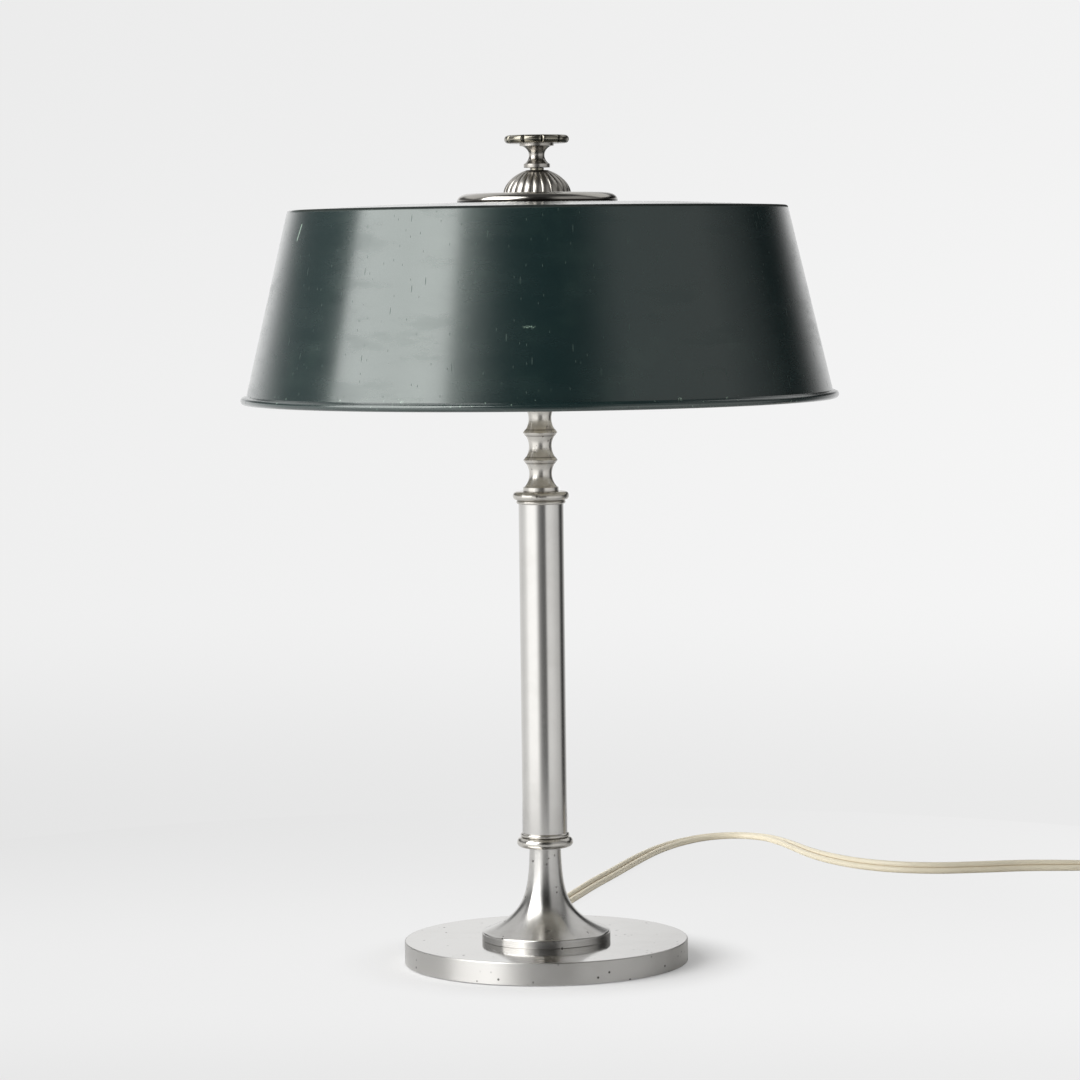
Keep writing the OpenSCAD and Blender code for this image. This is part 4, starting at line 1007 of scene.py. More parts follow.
@dataclass
class Studio:
    """Camera, floor, softbox and the pale room round the lamp.

    Bearings are degrees from the camera's side towards the picture's right, rises are degrees above
    the table, and levels are brightnesses. The softbox is sized and placed in metres.
    """

    camera_mm: tuple[float, float, float] = (-0.8, -2210.0, 397.0)
    camera_pitch: float = 4.10
    camera_roll: float = 0.70
    focal_px: float = 3948.0
    image_px: float = 1080.0
    sensor_mm: float = 36.0
    backdrop: float = 0.888
    backdrop_slope: float = 0.17
    low_to_high: Point = (4.0, 12.0)
    back_rise: Point = (21.0, 27.0)
    back_level: float = 0.75
    ceiling_rise: Point = (50.0, 64.0)
    ceiling_level: float = 0.06
    floor_albedo: float = 0.80
    floor_radius: float = 620.0
    floor_sides: int = 96
    floor_slope: float = 0.10
    floor_drop: float = 0.08
    softbox_bearing: float = -62.5
    softbox_rise: float = 36.0
    softbox_away: float = 2.0
    softbox_width: float = 1.80
    softbox_height: float = 2.2
    softbox_power: float = 52.5
    softbox_aim: float = 0.3

    LOW_BAND = (
        (-180, 0.9), (-150, 0.95), (-120, 0.9), (-105, 0.98), (-93, 1.1), (-82, 1.35),
        (-72, 1.56), (-45, 1.60), (-33, 1.58), (-27, 1.32), (-21, 0.92), (-15, 0.56), (-9, 0.34),
        (-2, 0.24), (6, 0.18), (14, 0.18), (19, 0.30), (24, 0.72), (29, 0.98), (42, 1.02),
        (58, 0.93), (76, 0.78), (92, 0.66), (100, 0.42), (108, 0.14), (116, 0.06), (124, 0.08),
        (132, 0.22), (142, 0.48), (155, 0.75), (180, 0.9),
    )
    HIGH_BAND = (
        (-180, 1.0), (-165, 0.8), (-155, 0.14), (-140, 0.07), (-105, 0.12), (-92, 0.14),
        (-60, 0.3), (-42, 1.1), (-37, 1.2), (-28, 0.55), (-19, 0.10), (-10, 0.02), (10, 0.02),
        (20, 0.06), (30, 0.27), (36, 0.42), (80, 0.40), (90, 0.26), (105, 0.11), (118, 0.01),
        (135, 0.0), (150, 0.0), (160, 0.04), (170, 0.2), (176, 0.7), (180, 1.0),
    )
    # Changes of level: where each begins and ends, and its level there.
    SHEET_FOOT = (-0.085, -0.14, 0.0, 0.08)
    SHEET_TOP = (-0.05, 0.06, 0.0, 0.027)
    FLOOR_FAR = (0.60, 0.02, 0.0, 0.07)
    FLOOR_NEAR = (-0.12, -0.40, 0.0, 0.06)
    GLOW_ROUND_BASE = (0.083, 0.125, 0.30, 0.92)
    GLOW_OUTSIDE = (0.30, 0.58, 0.0, 0.08)
    WHITE = (1.0, 1.0, 1.0)

    def place_camera(self) -> None:
        """Sets the camera at the height, pitch and roll of a person standing well back."""
        data = bpy.data.cameras.new("camera")
        data.sensor_width = self.sensor_mm
        data.lens = self.focal_px / self.image_px * data.sensor_width
        data.clip_end = 50.0
        camera = bpy.data.objects.new("camera", data)
        turn = Euler((math.radians(90.0 - self.camera_pitch), 0.0, 0.0)).to_matrix()
        roll = Matrix.Rotation(-math.radians(self.camera_roll), 3, "Z")
        place = Vector(self.camera_mm) * MM
        camera.matrix_world = Matrix.Translation(place) @ (turn @ roll).to_4x4()
        bpy.context.scene.collection.objects.link(camera)
        bpy.context.scene.camera = camera
        LOG.info("camera with a %.1f mm lens", data.lens)

    def light_room(self) -> None:
        """Writes the world: plain and pale to the camera, walls with dark gaps to the metal."""
        world = bpy.data.worlds.new("room")
        world.use_nodes = True
        bpy.context.scene.world = world
        recipe = Recipe(world.node_tree)
        x, y, z = recipe.parts(recipe.add("ShaderNodeTexCoord", {}, {})["Generated"])
        bearing = x.angle_from(-y) / TURN + 0.5
        low = self._band(recipe, bearing, self.LOW_BAND)
        high = self._band(recipe, bearing, self.HIGH_BAND)
        share = self._above(z, self.low_to_high)
        wall = low * (1.0 - share) + high * share
        behind = self._above(z, self.back_rise) * y.ramp(0.15, 0.40)
        wall = wall * (1.0 - behind) + behind * self.back_level
        ceiling = self._above(z, self.ceiling_rise)
        room = wall * (1.0 - ceiling) + ceiling * self.ceiling_level
        sheet = x * self.backdrop_slope + self.backdrop
        sheet = sheet - z.ramp(*self.SHEET_FOOT) - z.ramp(*self.SHEET_TOP)
        seen = recipe.seen()
        strength = room * (1.0 - seen) + seen * sheet
        values = {"Color": self.WHITE, "Strength": strength}
        glow = recipe.add("ShaderNodeBackground", {}, values)
        recipe.add("ShaderNodeOutputWorld", {}, {"Surface": glow["Background"]})

    @staticmethod
    def _above(z: Signal, rise: Point) -> Signal:
        """Eases from 0 to 1 between two rises, for a direction whose upward share is z."""
        low, high = (math.sin(math.radians(degrees)) for degrees in rise)
        return z.ramp(low, high)

    @staticmethod
    def _band(recipe: Recipe, bearing: Signal, levels: Sequence[tuple[float, float]]) -> Signal:
        """Brightness round the room, read from a ramp of half its values."""
        stops = [((angle + 180.0) / 360.0, (level / 2.0,) * 3) for angle, level in levels]
        ramp = recipe.add("ShaderNodeValToRGB", {"stops": stops}, {"Fac": bearing})
        return recipe.add("ShaderNodeRGBToBW", {}, {0: ramp["Color"]})[0] * 2.0

    def hang_softbox(self) -> None:
        """Hangs a large soft light up to the left of the camera, facing the lamp."""
        data = bpy.data.lights.new("softbox", "AREA")
        data.shape = "RECTANGLE"
        data.size = self.softbox_width
        data.size_y = self.softbox_height
        data.energy = self.softbox_power
        light = bpy.data.objects.new("softbox", data)
        bearing, rise = math.radians(self.softbox_bearing), math.radians(self.softbox_rise)
        level = math.cos(rise)
        away = Vector((math.sin(bearing) * level, -math.cos(bearing) * level, math.sin(rise)))
        light.location = Vector((0.0, 0.0, self.softbox_aim)) + away * self.softbox_away
        light.rotation_euler = away.to_track_quat("Z", "Y").to_euler()
        light.visible_camera = False
        bpy.context.scene.collection.objects.link(light)

    def lay_floor(self) -> None:
        """Lays a pale disc that melts into the backdrop away from the lamp.

        A point is (r cos a, r sin a, 0), with evenly growing radii.
        """
        sides = self.floor_sides
        radii = self.floor_radius * np.linspace(0.0, 1.0, 13)[1:, None]
        grid = spun(radii, 0.0 * radii, round_turn(sides))
        faces = grid_faces(len(radii), sides, False, True)[:, ::-1]
        floor = make_piece("floor", grid, [faces, cap_face(0, sides, True)])
        material = bpy.data.materials.new("pale_floor")
        material.use_nodes = True
        self._write_floor(Recipe(material.node_tree))
        floor.data.materials.append(material)

    def _write_floor(self, recipe: Recipe) -> None:
        """Matt under the lamp, where it takes shadows, and more of a glow outwards."""
        place = recipe.place()
        x, y, _ = recipe.parts(place)
        away = (x * x + y * y) ** 0.5
        grain = recipe.noise(place, 3.0, 3.0, 0.5)
        tone = recipe.mix(grain, (self.floor_albedo * 0.99,) * 3, (self.floor_albedo,) * 3)
        matt = recipe.add("ShaderNodeBsdfDiffuse", {}, {"Color": tone})
        depth = y.ramp(*self.FLOOR_FAR) - y.ramp(*self.FLOOR_NEAR)
        level = x * self.floor_slope + depth + (self.backdrop - self.floor_drop)
        glow = recipe.add("ShaderNodeEmission", {}, {"Color": self.WHITE, "Strength": level})
        outwards = away.ramp(*self.GLOW_ROUND_BASE) + away.ramp(*self.GLOW_OUTSIDE)
        shaders = {0: outwards * recipe.seen(), 1: matt["BSDF"], 2: glow["Emission"]}
        mixed = recipe.add("ShaderNodeMixShader", {}, shaders)
        recipe.add("ShaderNodeOutputMaterial", {}, {"Surface": mixed["Shader"]})

    def set_view(self) -> None:
        """Shows colours as they are written."""
        bpy.context.scene.view_settings.view_transform = "Standard"


# ---------------------------------------------------------------- mains cord


@dataclass(frozen=True)
class Sleeve:
    """A ribbed sleeve that narrows along its length, in millimetres."""

    width: float
    narrows_by: float
    height: float
    thins_by: float
    ribs: float
    rib_depth: float
    ribbed_to: float
    power: float

    def stations(self, y: np.ndarray, share: np.ndarray, wave: np.ndarray) -> np.ndarray:
        """Rows of y, width, height and roundness power: a straight taper less the grooves.

        Args:
            y: Places along the sleeve.
            share: Share of its length at each place.
            wave: How deep in a groove each place lies, from 0 to 1.

        Returns:
            Stations for a loft.
        """
        groove = self.rib_depth * wave * (share < self.ribbed_to)
        width = self.width - self.narrows_by * share - groove
        height = self.height - self.thins_by * share - groove
        return np.column_stack([y, width, height, np.full_like(y, self.power)])


@dataclass
class MainsCord:
    """Ivory twin flex from the base to its coil, with its bush, tie and plug, in millimetres.

    Only its length is in metres.
    """

    width: float = 7.6
    thickness: float = 3.8
    bush_back_y: float = 80.0
    bush_tip_y: float = 102.0
    exit_z: float = 4.6
    coil_x: float = 406.0
    coil_y: float = 253.7
    coil_mid_r: float = 45.4
    turn_w: float = 7.8
    layer_h: float = 3.9
    plug_z: float = 7.0
    plug_h: float = 34.0
    relief_y: float = 216.0
    relief_h: float = 24.0
    pin_half_gap: float = 9.5
    tie_half_t: float = 0.35
    tie_half_w: float = 3.6
    tie_bearing: float = 200.0
    length: float = 1.8
    ring_step: float = 2.0
    wire_points: int = 14

    # Steps of the table run: x, y past the bush, share of the exit's height, and roll in degrees.
    STEPS = (
        (0, 0, 1, 0), (0, 16, 0.6, 0), (0, 34, 0.1, 5), (6, 66, 0, 15), (18, 110, 0, 25),
        (30, 153, 0, 30), (42, 192, 0, 30), (53, 229, 0, 28), (64, 265, 0, 22), (76, 299, 0, 14),
        (91, 329, 0, 8), (110, 352, 0, 4), (131, 359, 0, 2), (149, 348, 0, 4), (160, 325, 0, 10),
        (168, 297, 0, 20), (176, 269, 0, 32), (187, 243, 0, 45), (203, 219, 0, 56),
        (225, 202, 0, 62), (251, 195, 0, 65), (279, 197, 0, 65), (307, 201, 0, 62),
        (335, 201, 0, 50), (363, 201, 0, 25), (391, 201, 0, 0),
    )
    # The coil's whole turn; then where it moves in, up and out, in degrees past its left side.
    SWEEP = 1170.0
    INWARDS = (260.0, 325.0)
    UPWARDS = (620.0, 685.0)
    OUTWARDS = (985.0, 1045.0)
    # The plug's skin: y past its face, width, height and roundness power.
    PLUG = (
        (0.0, 32.6, 11.4, 5.0), (0.35, 34.2, 12.8, 5.0), (1.2, 35.0, 13.6, 4.6),
        (8.0, 35.0, 13.6, 4.2), (15.0, 34.6, 13.5, 3.8), (20.0, 32.0, 13.2, 3.4),
        (25.0, 27.0, 12.6, 3.0), (29.5, 22.4, 11.6, 2.8), (32.5, 18.0, 10.2, 2.6),
        (34.0, 14.0, 9.0, 2.5),
    )
    BUSH = Sleeve(
        width=10.6, narrows_by=1.6, height=6.4, thins_by=1.2, ribs=7.0, rib_depth=0.55,
        ribbed_to=0.96, power=2.8,
    )
    BUSH_RIBBED_FROM = 0.02
    RELIEF = Sleeve(
        width=14.0, narrows_by=4.8, height=9.0, thins_by=3.6, ribs=6.0, rib_depth=0.7,
        ribbed_to=0.97, power=2.5,
    )
    # A pin: length past the plug's face, and radius.
    PIN = (
        (-2.0, 2.0), (0.0, 2.0), (8.0, 2.0), (16.8, 2.0), (17.6, 1.85), (18.3, 1.5), (18.8, 0.9),
        (19.0, 0.3),
    )
    PIN_SIDES = 24

    @property
    def plug_x(self) -> float:
        """Distance of the plug's line from the lamp's axis."""
        return self.coil_x + self.coil_mid_r + self.turn_w / 2.0

    @property
    def face_y(self) -> float:
        """Place of the plug's face."""
        return self.relief_y - self.relief_h - self.plug_h

    def lying(self, roll: np.ndarray) -> np.ndarray:
        """Height of the flex's middle when it rests on the table, rolled over by degrees."""
        wire = self.thickness / 2.0
        return wire + (self.width / 2.0 - wire) * np.abs(np.sin(np.radians(roll)))

    def table_run(self) -> np.ndarray:
        """Rows of x, y, z and roll from the bush to the start of the coil.

        Returns:
            Points of the smooth curve through the steps.
        """
        steps = np.array(self.STEPS, dtype=float)
        z = self.lying(steps[:, 3]) + steps[:, 2] * (self.exit_z - self.thickness / 2.0)
        knots = np.column_stack([steps[:, 0], self.bush_tip_y + steps[:, 1], z, steps[:, 3]])
        run = smooth_curve(knots, 14)
        run[:, 2] = np.maximum(run[:, 2], self.lying(run[:, 3]))
        return run

    def coil_run(self) -> np.ndarray:
        """Rows of x, y, z and roll along the coil's turns.

        The flex goes round clockwise from the far side, inwards, up onto the second layer and out
        again, and leaves it on the right, where the plug's lead goes straight on.

        Returns:
            Points of the coil.
        """
        step = np.linspace(0.0, self.SWEEP, 606)
        angle = np.radians(90.0 - step)
        turned_by = step + 90.0
        inwards = self.turn_w * ease(turned_by, *self.INWARDS)
        outwards = self.turn_w * ease(turned_by, *self.OUTWARDS)
        radius = self.coil_mid_r + self.turn_w / 2.0 - inwards + outwards
        x = self.coil_x + radius * np.cos(angle)
        y = self.coil_y + radius * np.sin(angle)
        z = self.thickness / 2.0 + self.layer_h * ease(turned_by, *self.UPWARDS)
        return np.column_stack([x, y, z, 0.0 * z])

    def lead_run(self) -> np.ndarray:
        """Rows of x, y, z and roll from the coil's upper layer straight on into the plug."""
        y = np.linspace(self.coil_y - 4.0, self.relief_y - 6.0, 22)
        low = self.thickness / 2.0 + self.layer_h
        z = low + (self.plug_z - low) * ease(-y, -(self.relief_y + 14.0), -self.relief_y)
        return np.column_stack([np.full_like(y, self.plug_x), y, z, 0.0 * y])

    def whole_run(self) -> np.ndarray:
        """The cord's middle line, from inside the bush to inside the plug, evenly spaced."""
        lead_in = np.array([[0.0, self.bush_tip_y - 6.0, self.exit_z, 0.0]])
        run = np.vstack([lead_in, self.table_run()[:-1], self.coil_run(), self.lead_run()])
        gaps = np.linalg.norm(np.diff(run[:, :3], axis=0), axis=1)
        run = run[np.concatenate([[True], gaps > 1e-6])]
        along = distance_along(run)
        even = np.linspace(0.0, along[-1], int(along[-1] / self.ring_step) + 1)
        LOG.info("cord middle line %.0f mm", along[-1])
        return np.column_stack([np.interp(even, along, run[:, k]) for k in range(4)])

    def section(self) -> np.ndarray:
        """Two round wires side by side: sideways and upwards shares in millimetres.

        Each wire is a circle of half the thickness, whose centre is that far from the middle, from
        30 degrees past the groove on one face to 30 degrees before the groove on the other.
        """
        wire = self.thickness / 2.0
        sweep = np.radians(np.linspace(150.0, -150.0, self.wire_points))
        right = np.column_stack([wire + wire * np.cos(sweep), wire * np.sin(sweep)])
        return np.vstack([right, -right])[::-1]

    def skin(self, run: np.ndarray) -> np.ndarray:
        """Carries the section along a run, rolled as each row says.

        Args:
            run: Rows of x, y, z and roll.

        Returns:
            Points, one ring for each row.
        """
        ahead = np.gradient(run[:, :3], axis=0)
        ahead /= np.linalg.norm(ahead, axis=1, keepdims=True)
        across = np.column_stack([ahead[:, 1], -ahead[:, 0], 0.0 * ahead[:, 0]])
        across /= np.linalg.norm(across, axis=1, keepdims=True)
        up = np.cross(across, ahead)
        roll = np.radians(run[:, 3:4])
        side = across * np.cos(roll) - up * np.sin(roll)
        top = up * np.cos(roll) + across * np.sin(roll)
        shape = self.section()
        sideways = side[:, None, :] * shape[None, :, :1]
        upwards = top[:, None, :] * shape[None, :, 1:2]
        return run[:, None, :3] + sideways + upwards

    def build(self) -> None:
        run = self.whole_run()
        points = self.skin(run)
        rings, columns = points.shape[:2]
        run_map = self.map_corners(run, columns)
        flex = make_piece("mains_flex", points, bar_faces(rings, columns), 50.0, run_map)
        settle(flex, Finishes.FLEX, ["mains_cord", "cord_coil", "plug_lead"])
        travelling = [self.build_plug(), self.build_pins(), self.build_tie()]
        self.build_bush()

    def map_corners(self, run: np.ndarray, columns: int) -> np.ndarray:
        """Pattern positions of each quad's corners.

        Args:
            run: Rows of x, y, z and roll.
            columns: Number of points in a ring.

        Returns:
            Metres along the cord and share of the way round, for each corner.
        """
        along = distance_along(run) * MM
        i, j = np.meshgrid(np.arange(len(run) - 1), np.arange(columns), indexing="ij")
        share = (np.arange(columns + 1) + 0.5) / columns
        u = np.stack([along[i + 1], along[i + 1], along[i], along[i]], axis=-1)
        v = np.stack([share[j], share[j + 1], share[j + 1], share[j]], axis=-1)
        return np.stack([u, v], axis=-1).reshape(-1, 2)

    def build_bush(self) -> bpy.types.Object:
        """Tapered bush in the rear of the base, with cosine ribs so that it bends."""
        back, tip = self.bush_back_y, self.bush_tip_y
        y = np.concatenate([[back - 3.0, back - 0.1], np.linspace(back, tip, 78)])
        share = np.clip((y - back) / (tip - back), 0.0, 1.0)
        wave = 0.5 + 0.5 * np.cos(TURN * share * self.BUSH.ribs)
        stations = self.BUSH.stations(y, share, wave * (share > self.BUSH_RIBBED_FROM))
        bush = loft("cord_bush_piece", 0.0, self.exit_z, stations)
        return settle(bush, Finishes.MOULDING, ["cord_bush"])

    def build_plug(self) -> bpy.types.Object:
        """Flat two-pin plug with a waisted grip and a ribbed strain relief towards the coil."""
        share = np.linspace(0.0, 1.0, 60)[1:]
        wave = 0.5 - 0.5 * np.cos(TURN * share * self.RELIEF.ribs)
        y = self.face_y + self.plug_h + self.relief_h * share
        relief = self.RELIEF.stations(y, share, wave)
        grip = np.array(self.PLUG) + [self.face_y, 0.0, 0.0, 0.0]
        plug = loft("mains_plug", self.plug_x, self.plug_z, np.vstack([grip, relief]))
        return settle(plug, Finishes.MOULDING, ["plug_body"])

    def build_pins(self) -> bpy.types.Object:
        """Two round pins with bullet ends, each a profile turned about its own line."""
        reach, radius = np.array(self.PIN).T[:, :, None]
        a = round_turn(self.PIN_SIDES)
        y = self.face_y - reach + 0.0 * a
        one = np.stack([radius * np.cos(a), y, self.plug_z + radius * np.sin(a)], axis=-1)
        one = one.reshape(-1, 3)
        count = len(one)
        shift = np.array([self.pin_half_gap, 0.0, 0.0])
        middle = np.array([self.plug_x, 0.0, 0.0])
        points = np.vstack([one + middle - shift, one + middle + shift])
        walls = grid_faces(len(self.PIN), self.PIN_SIDES, False, True)
        faces = [walls, walls + count]
        for first in (0, count):
            faces.append(cap_face(first, self.PIN_SIDES, False))
            faces.append(cap_face(first + count - self.PIN_SIDES, self.PIN_SIDES, True))
        pins = make_piece("plug_pin_pair", points, faces)
        return settle(pins, Finishes.BULB_METAL, ["plug_pins"])

    def build_tie(self) -> bpy.types.Object:
        """Wire tie: a flat band carried once round the coil's section.

        The band's middle line is a rounded rectangle just outside the flex; a thin oval follows it.
        """
        around, sides = 64, 12
        half_t, half_w, place = self.tie_half_t, self.tie_half_w, math.radians(self.tie_bearing)
        loop = oval(2.0 * self.turn_w + 0.2, 2.0 * self.layer_h, 5.0, around)
        edge = round_turn(sides)
        outward = loop / np.linalg.norm(loop, axis=1, keepdims=True)
        inset = loop - outward * half_t
        r = self.coil_mid_r + inset[:, None, 0] + outward[:, None, 0] * half_t * np.cos(edge)
        h = self.layer_h + inset[:, None, 1] + outward[:, None, 1] * half_t * np.cos(edge)
        w = half_w * np.sin(edge) + 0.0 * r
        x = self.coil_x + r * math.cos(place) - w * math.sin(place)
        y = self.coil_y + r * math.sin(place) + w * math.cos(place)
        points = np.stack([x, y, np.maximum(h, 0.05)], axis=-1)
        faces = [grid_faces(around, sides, True, True)]
        tie = make_piece("coil_tie_band", points, faces, 60.0)
        return settle(tie, Finishes.TIE, ["coil_tie"])


def oval(width: float, height: float, power: float, count: int = 48) -> np.ndarray:
    """Rounded bar outline: cosine and sine, each raised to a small power, times half the sizes.

    Args:
        width: Its whole width.
        height: Its whole height.
        power: 2 gives an ellipse, and more comes nearer to a rectangle.
        count: Number of points.

    Returns:
        Rows of sideways and upwards distance from its middle.
    """
    a = round_turn(count)
    bend = 2.0 / power
    return np.column_stack([
        width / 2.0 * np.sign(np.cos(a)) * np.abs(np.cos(a)) ** bend,
        height / 2.0 * np.sign(np.sin(a)) * np.abs(np.sin(a)) ** bend,
    ])


def loft(name: str, x: float, z: float, stations: np.ndarray) -> bpy.types.Object:
    """Joins rounded bars set along the Y direction into one closed skin.

    Args:
        name: Name of the piece.
        x: Distance of its line from the lamp's axis.
        z: Height of its line.
        stations: Rows of y, width, height and roundness power, with rising y.

    Returns:
        The new object.
    """
    rows = []
    for y, width, height, power in stations.tolist():
        bar = oval(width, height, power)
        rows.append(np.column_stack([x + bar[:, 0], np.full(len(bar), y), z + bar[:, 1]]))
    return make_piece(name, np.stack(rows), bar_faces(len(rows), len(rows[0])), 38.0)


def distance_along(run: np.ndarray) -> np.ndarray:
    """Distance of each point of a line from its start, along the line."""
    steps = np.linalg.norm(np.diff(run[:, :3], axis=0), axis=1)
    return np.concatenate([[0.0], np.cumsum(steps)])


def smooth_curve(knots: np.ndarray, per_span: int) -> np.ndarray:
    """Curve through all knots.

    Each span is a cubic whose end slopes are those of its neighbours' chord.

    Args:
        knots: One row for each knot.
        per_span: Points on each span.

    Returns:
        Points of the curve, the last knot included.
    """
    padded = np.vstack([knots[:1], knots, knots[-1:]])
    a, b, c, d = (padded[k : len(knots) - 1 + k, None, :] for k in range(4))
    t = (np.arange(per_span) / per_span)[None, :, None]
    spans = 0.5 * (
        2 * b + (c - a) * t + (2 * a - 5 * b + 4 * c - d) * t**2 + (3 * b - a - 3 * c + d) * t**3
    )
    return np.vstack([spans.reshape(-1, knots.shape[1]), knots[-1:]])


def ease(value: np.ndarray, low: float, high: float) -> np.ndarray:
    """Smooth step from 0 at low to 1 at high: 3s squared minus 2s cubed, s the share of the way."""
    s = np.clip((value - low) / (high - low), 0.0, 1.0)
    return s * s * (3.0 - 2.0 * s)


# ---------------------------------------------------------------- base and column


@dataclass
class Base:
    """Weighted disc: the spun shell that shows, over felt, cover and ballast."""

    radius: float = 80.0
    height: float = 13.0
    lift: float = 0.5
    edge: float = 0.7
    wall: float = 1.8
    top: float = 1.2

    def build(self) -> None:
        """Turns the shell."""
        shell_top = self.height - self.top
        inner = self.radius - self.wall
        outline = Outline().at(inner, self.lift).to(self.radius - 0.3, self.lift)
        outline.low_corner(self.radius, self.lift, steps=5)
        outline.to(self.radius, self.height - self.edge)
        outline.high_corner(self.radius, self.height, self.edge, 10)
        outline.to(TUBE_HOLE, self.height).to(TUBE_HOLE, shell_top)
        outline.to(inner, shell_top).to(inner, self.lift)
        outline.points.pop()
        settle(turned("base_shell", outline, 256), Finishes.BASE)


@dataclass
class Foot:
    """Trumpet-shaped foot on its round flange."""

    base_z: float = 13.0
    radius: float = 36.3
    neck: float = 8.6
    lip_h: float = 4.9
    lip_r: float = 1.3
    height: float = 52.3
    decay: float = 10.0

    def build(self) -> None:
        """Turns the foot: the flare's radius falls off exponentially with height above the lip."""
        z0 = self.base_z
        lip_z = z0 + self.lip_h - self.lip_r
        outline = Outline().at(self.radius - 0.5, z0).low_corner(self.radius, z0)
        outline.to(self.radius, lip_z)
        outline.arc((self.radius - self.lip_r, lip_z), self.lip_r, 0, 88, 10)
        h = (self.height - self.lip_h) * np.linspace(0.0, 1.0, 90)[1:] ** 1.7
        flare = self.neck + (self.radius - self.lip_r - self.neck) * np.exp(-h / self.decay)
        outline.along(flare, z0 + self.lip_h + h)
        outline.to(TUBE_HOLE, z0 + self.height).to(TUBE_HOLE, z0)
        settle(turned("flared_foot", outline, 192), Finishes.FOOT)


@dataclass
class Column:
    """Column tube with a collar at each end, whose spigot stands in the tube."""

    low_z: float = 65.3
    tube_r: float = 12.65
    bore_r: float = 11.15
    spigot_r: float = 11.10
    spigot_h: float = 4.0
    tube_h: float = 185.6
    ring_r: float = 15.85
    bead_r: float = 13.85
    low_ring: float = 5.6
    low_bead: float = 2.5
    high_ring: float = 4.8
    high_bead: float = 2.2

    def build(self) -> None:
        """Turns the tube and both collars."""
        tube_z = self.low_z + self.low_ring + self.low_bead
        top_z = tube_z + self.tube_h
        tube = Outline().at(self.tube_r, tube_z).to(self.tube_r, top_z)
        tube.to(self.bore_r, top_z).to(self.bore_r, tube_z)
        settle(turned("column_tube", tube, 192), Finishes.COLUMN)
        low = Outline().at(TUBE_HOLE, self.low_z)
        low.ring(self.ring_r, self.low_z, self.low_ring)
        low.ring(self.bead_r, self.low_z + self.low_ring, self.low_bead)
        low.to(self.spigot_r, tube_z).to(self.spigot_r, tube_z + self.spigot_h)
        low.to(TUBE_HOLE, tube_z + self.spigot_h)
        settle(turned("lower_collar", low, 160), Finishes.STEM)
        high = Outline().at(TUBE_HOLE, top_z - self.spigot_h)
        high.to(self.spigot_r, top_z - self.spigot_h).to(self.spigot_r, top_z)
        high.ring(self.bead_r, top_z, self.high_bead)
        high.ring(self.ring_r, top_z + self.high_bead, self.high_ring)
        high.to(TUBE_HOLE, top_z + self.high_bead + self.high_ring)
        settle(turned("upper_collar", high, 160), Finishes.STEM)


@dataclass
class Stem:
    """Stem of equal coves that meet in sharp rings."""

    low_z: float = 266.0
    flange_r: float = 10.0
    flange_t: float = 2.5
    flange_edge: float = 0.25
    root_r: float = 9.28
    ring_r: float = 9.6
    ring_root_r: float = 8.5
    ring_half: float = 1.7
    ring_flat: float = 0.09
    waist_r: float = 6.4
    cove_r: float = 10.7
    pitch: float = 15.45
    coves: int = 4
    first_cove_z: float = 275.803
    height: float = 63.878

    def build(self) -> None:
        """Turns the stem: each cove is an arc about a centre outside it, with shoulders."""
        flange_z = self.low_z + self.flange_t
        outline = Outline().at(TUBE_HOLE, self.low_z)
        outline.to(self.flange_r - self.flange_edge, self.low_z)
        outline.low_corner(self.flange_r, self.low_z, self.flange_edge)
        outline.to(self.flange_r, flange_z - self.flange_edge)
        outline.high_corner(self.flange_r, flange_z, self.flange_edge)
        centre_r = self.waist_r + self.cove_r
        shoulder = math.degrees(math.asin((self.pitch / 2.0 - self.ring_half) / self.cove_r))
        below = math.degrees(math.acos((centre_r - self.root_r) / self.cove_r))
        for number in range(self.coves):
            z = self.first_cove_z + number * self.pitch
            ring_z = z + self.pitch / 2.0
            outline.arc((centre_r, z), self.cove_r, 180.0 + below, 180.0 - shoulder, 24)
            outline.to(self.ring_root_r, ring_z - self.ring_half)
            outline.to(self.ring_r, ring_z - self.ring_flat)
            if number < self.coves - 1:
                outline.to(self.ring_r, ring_z + self.ring_flat)
                outline.to(self.ring_root_r, ring_z + self.ring_half)
            below = shoulder
        top = self.low_z + self.height
        outline.at(self.ring_r, top).to(TUBE_HOLE, top)
        settle(turned("turned_stem", outline, 160, 24.0), Finishes.STEM)


# ---------------------------------------------------------------- shade and crown


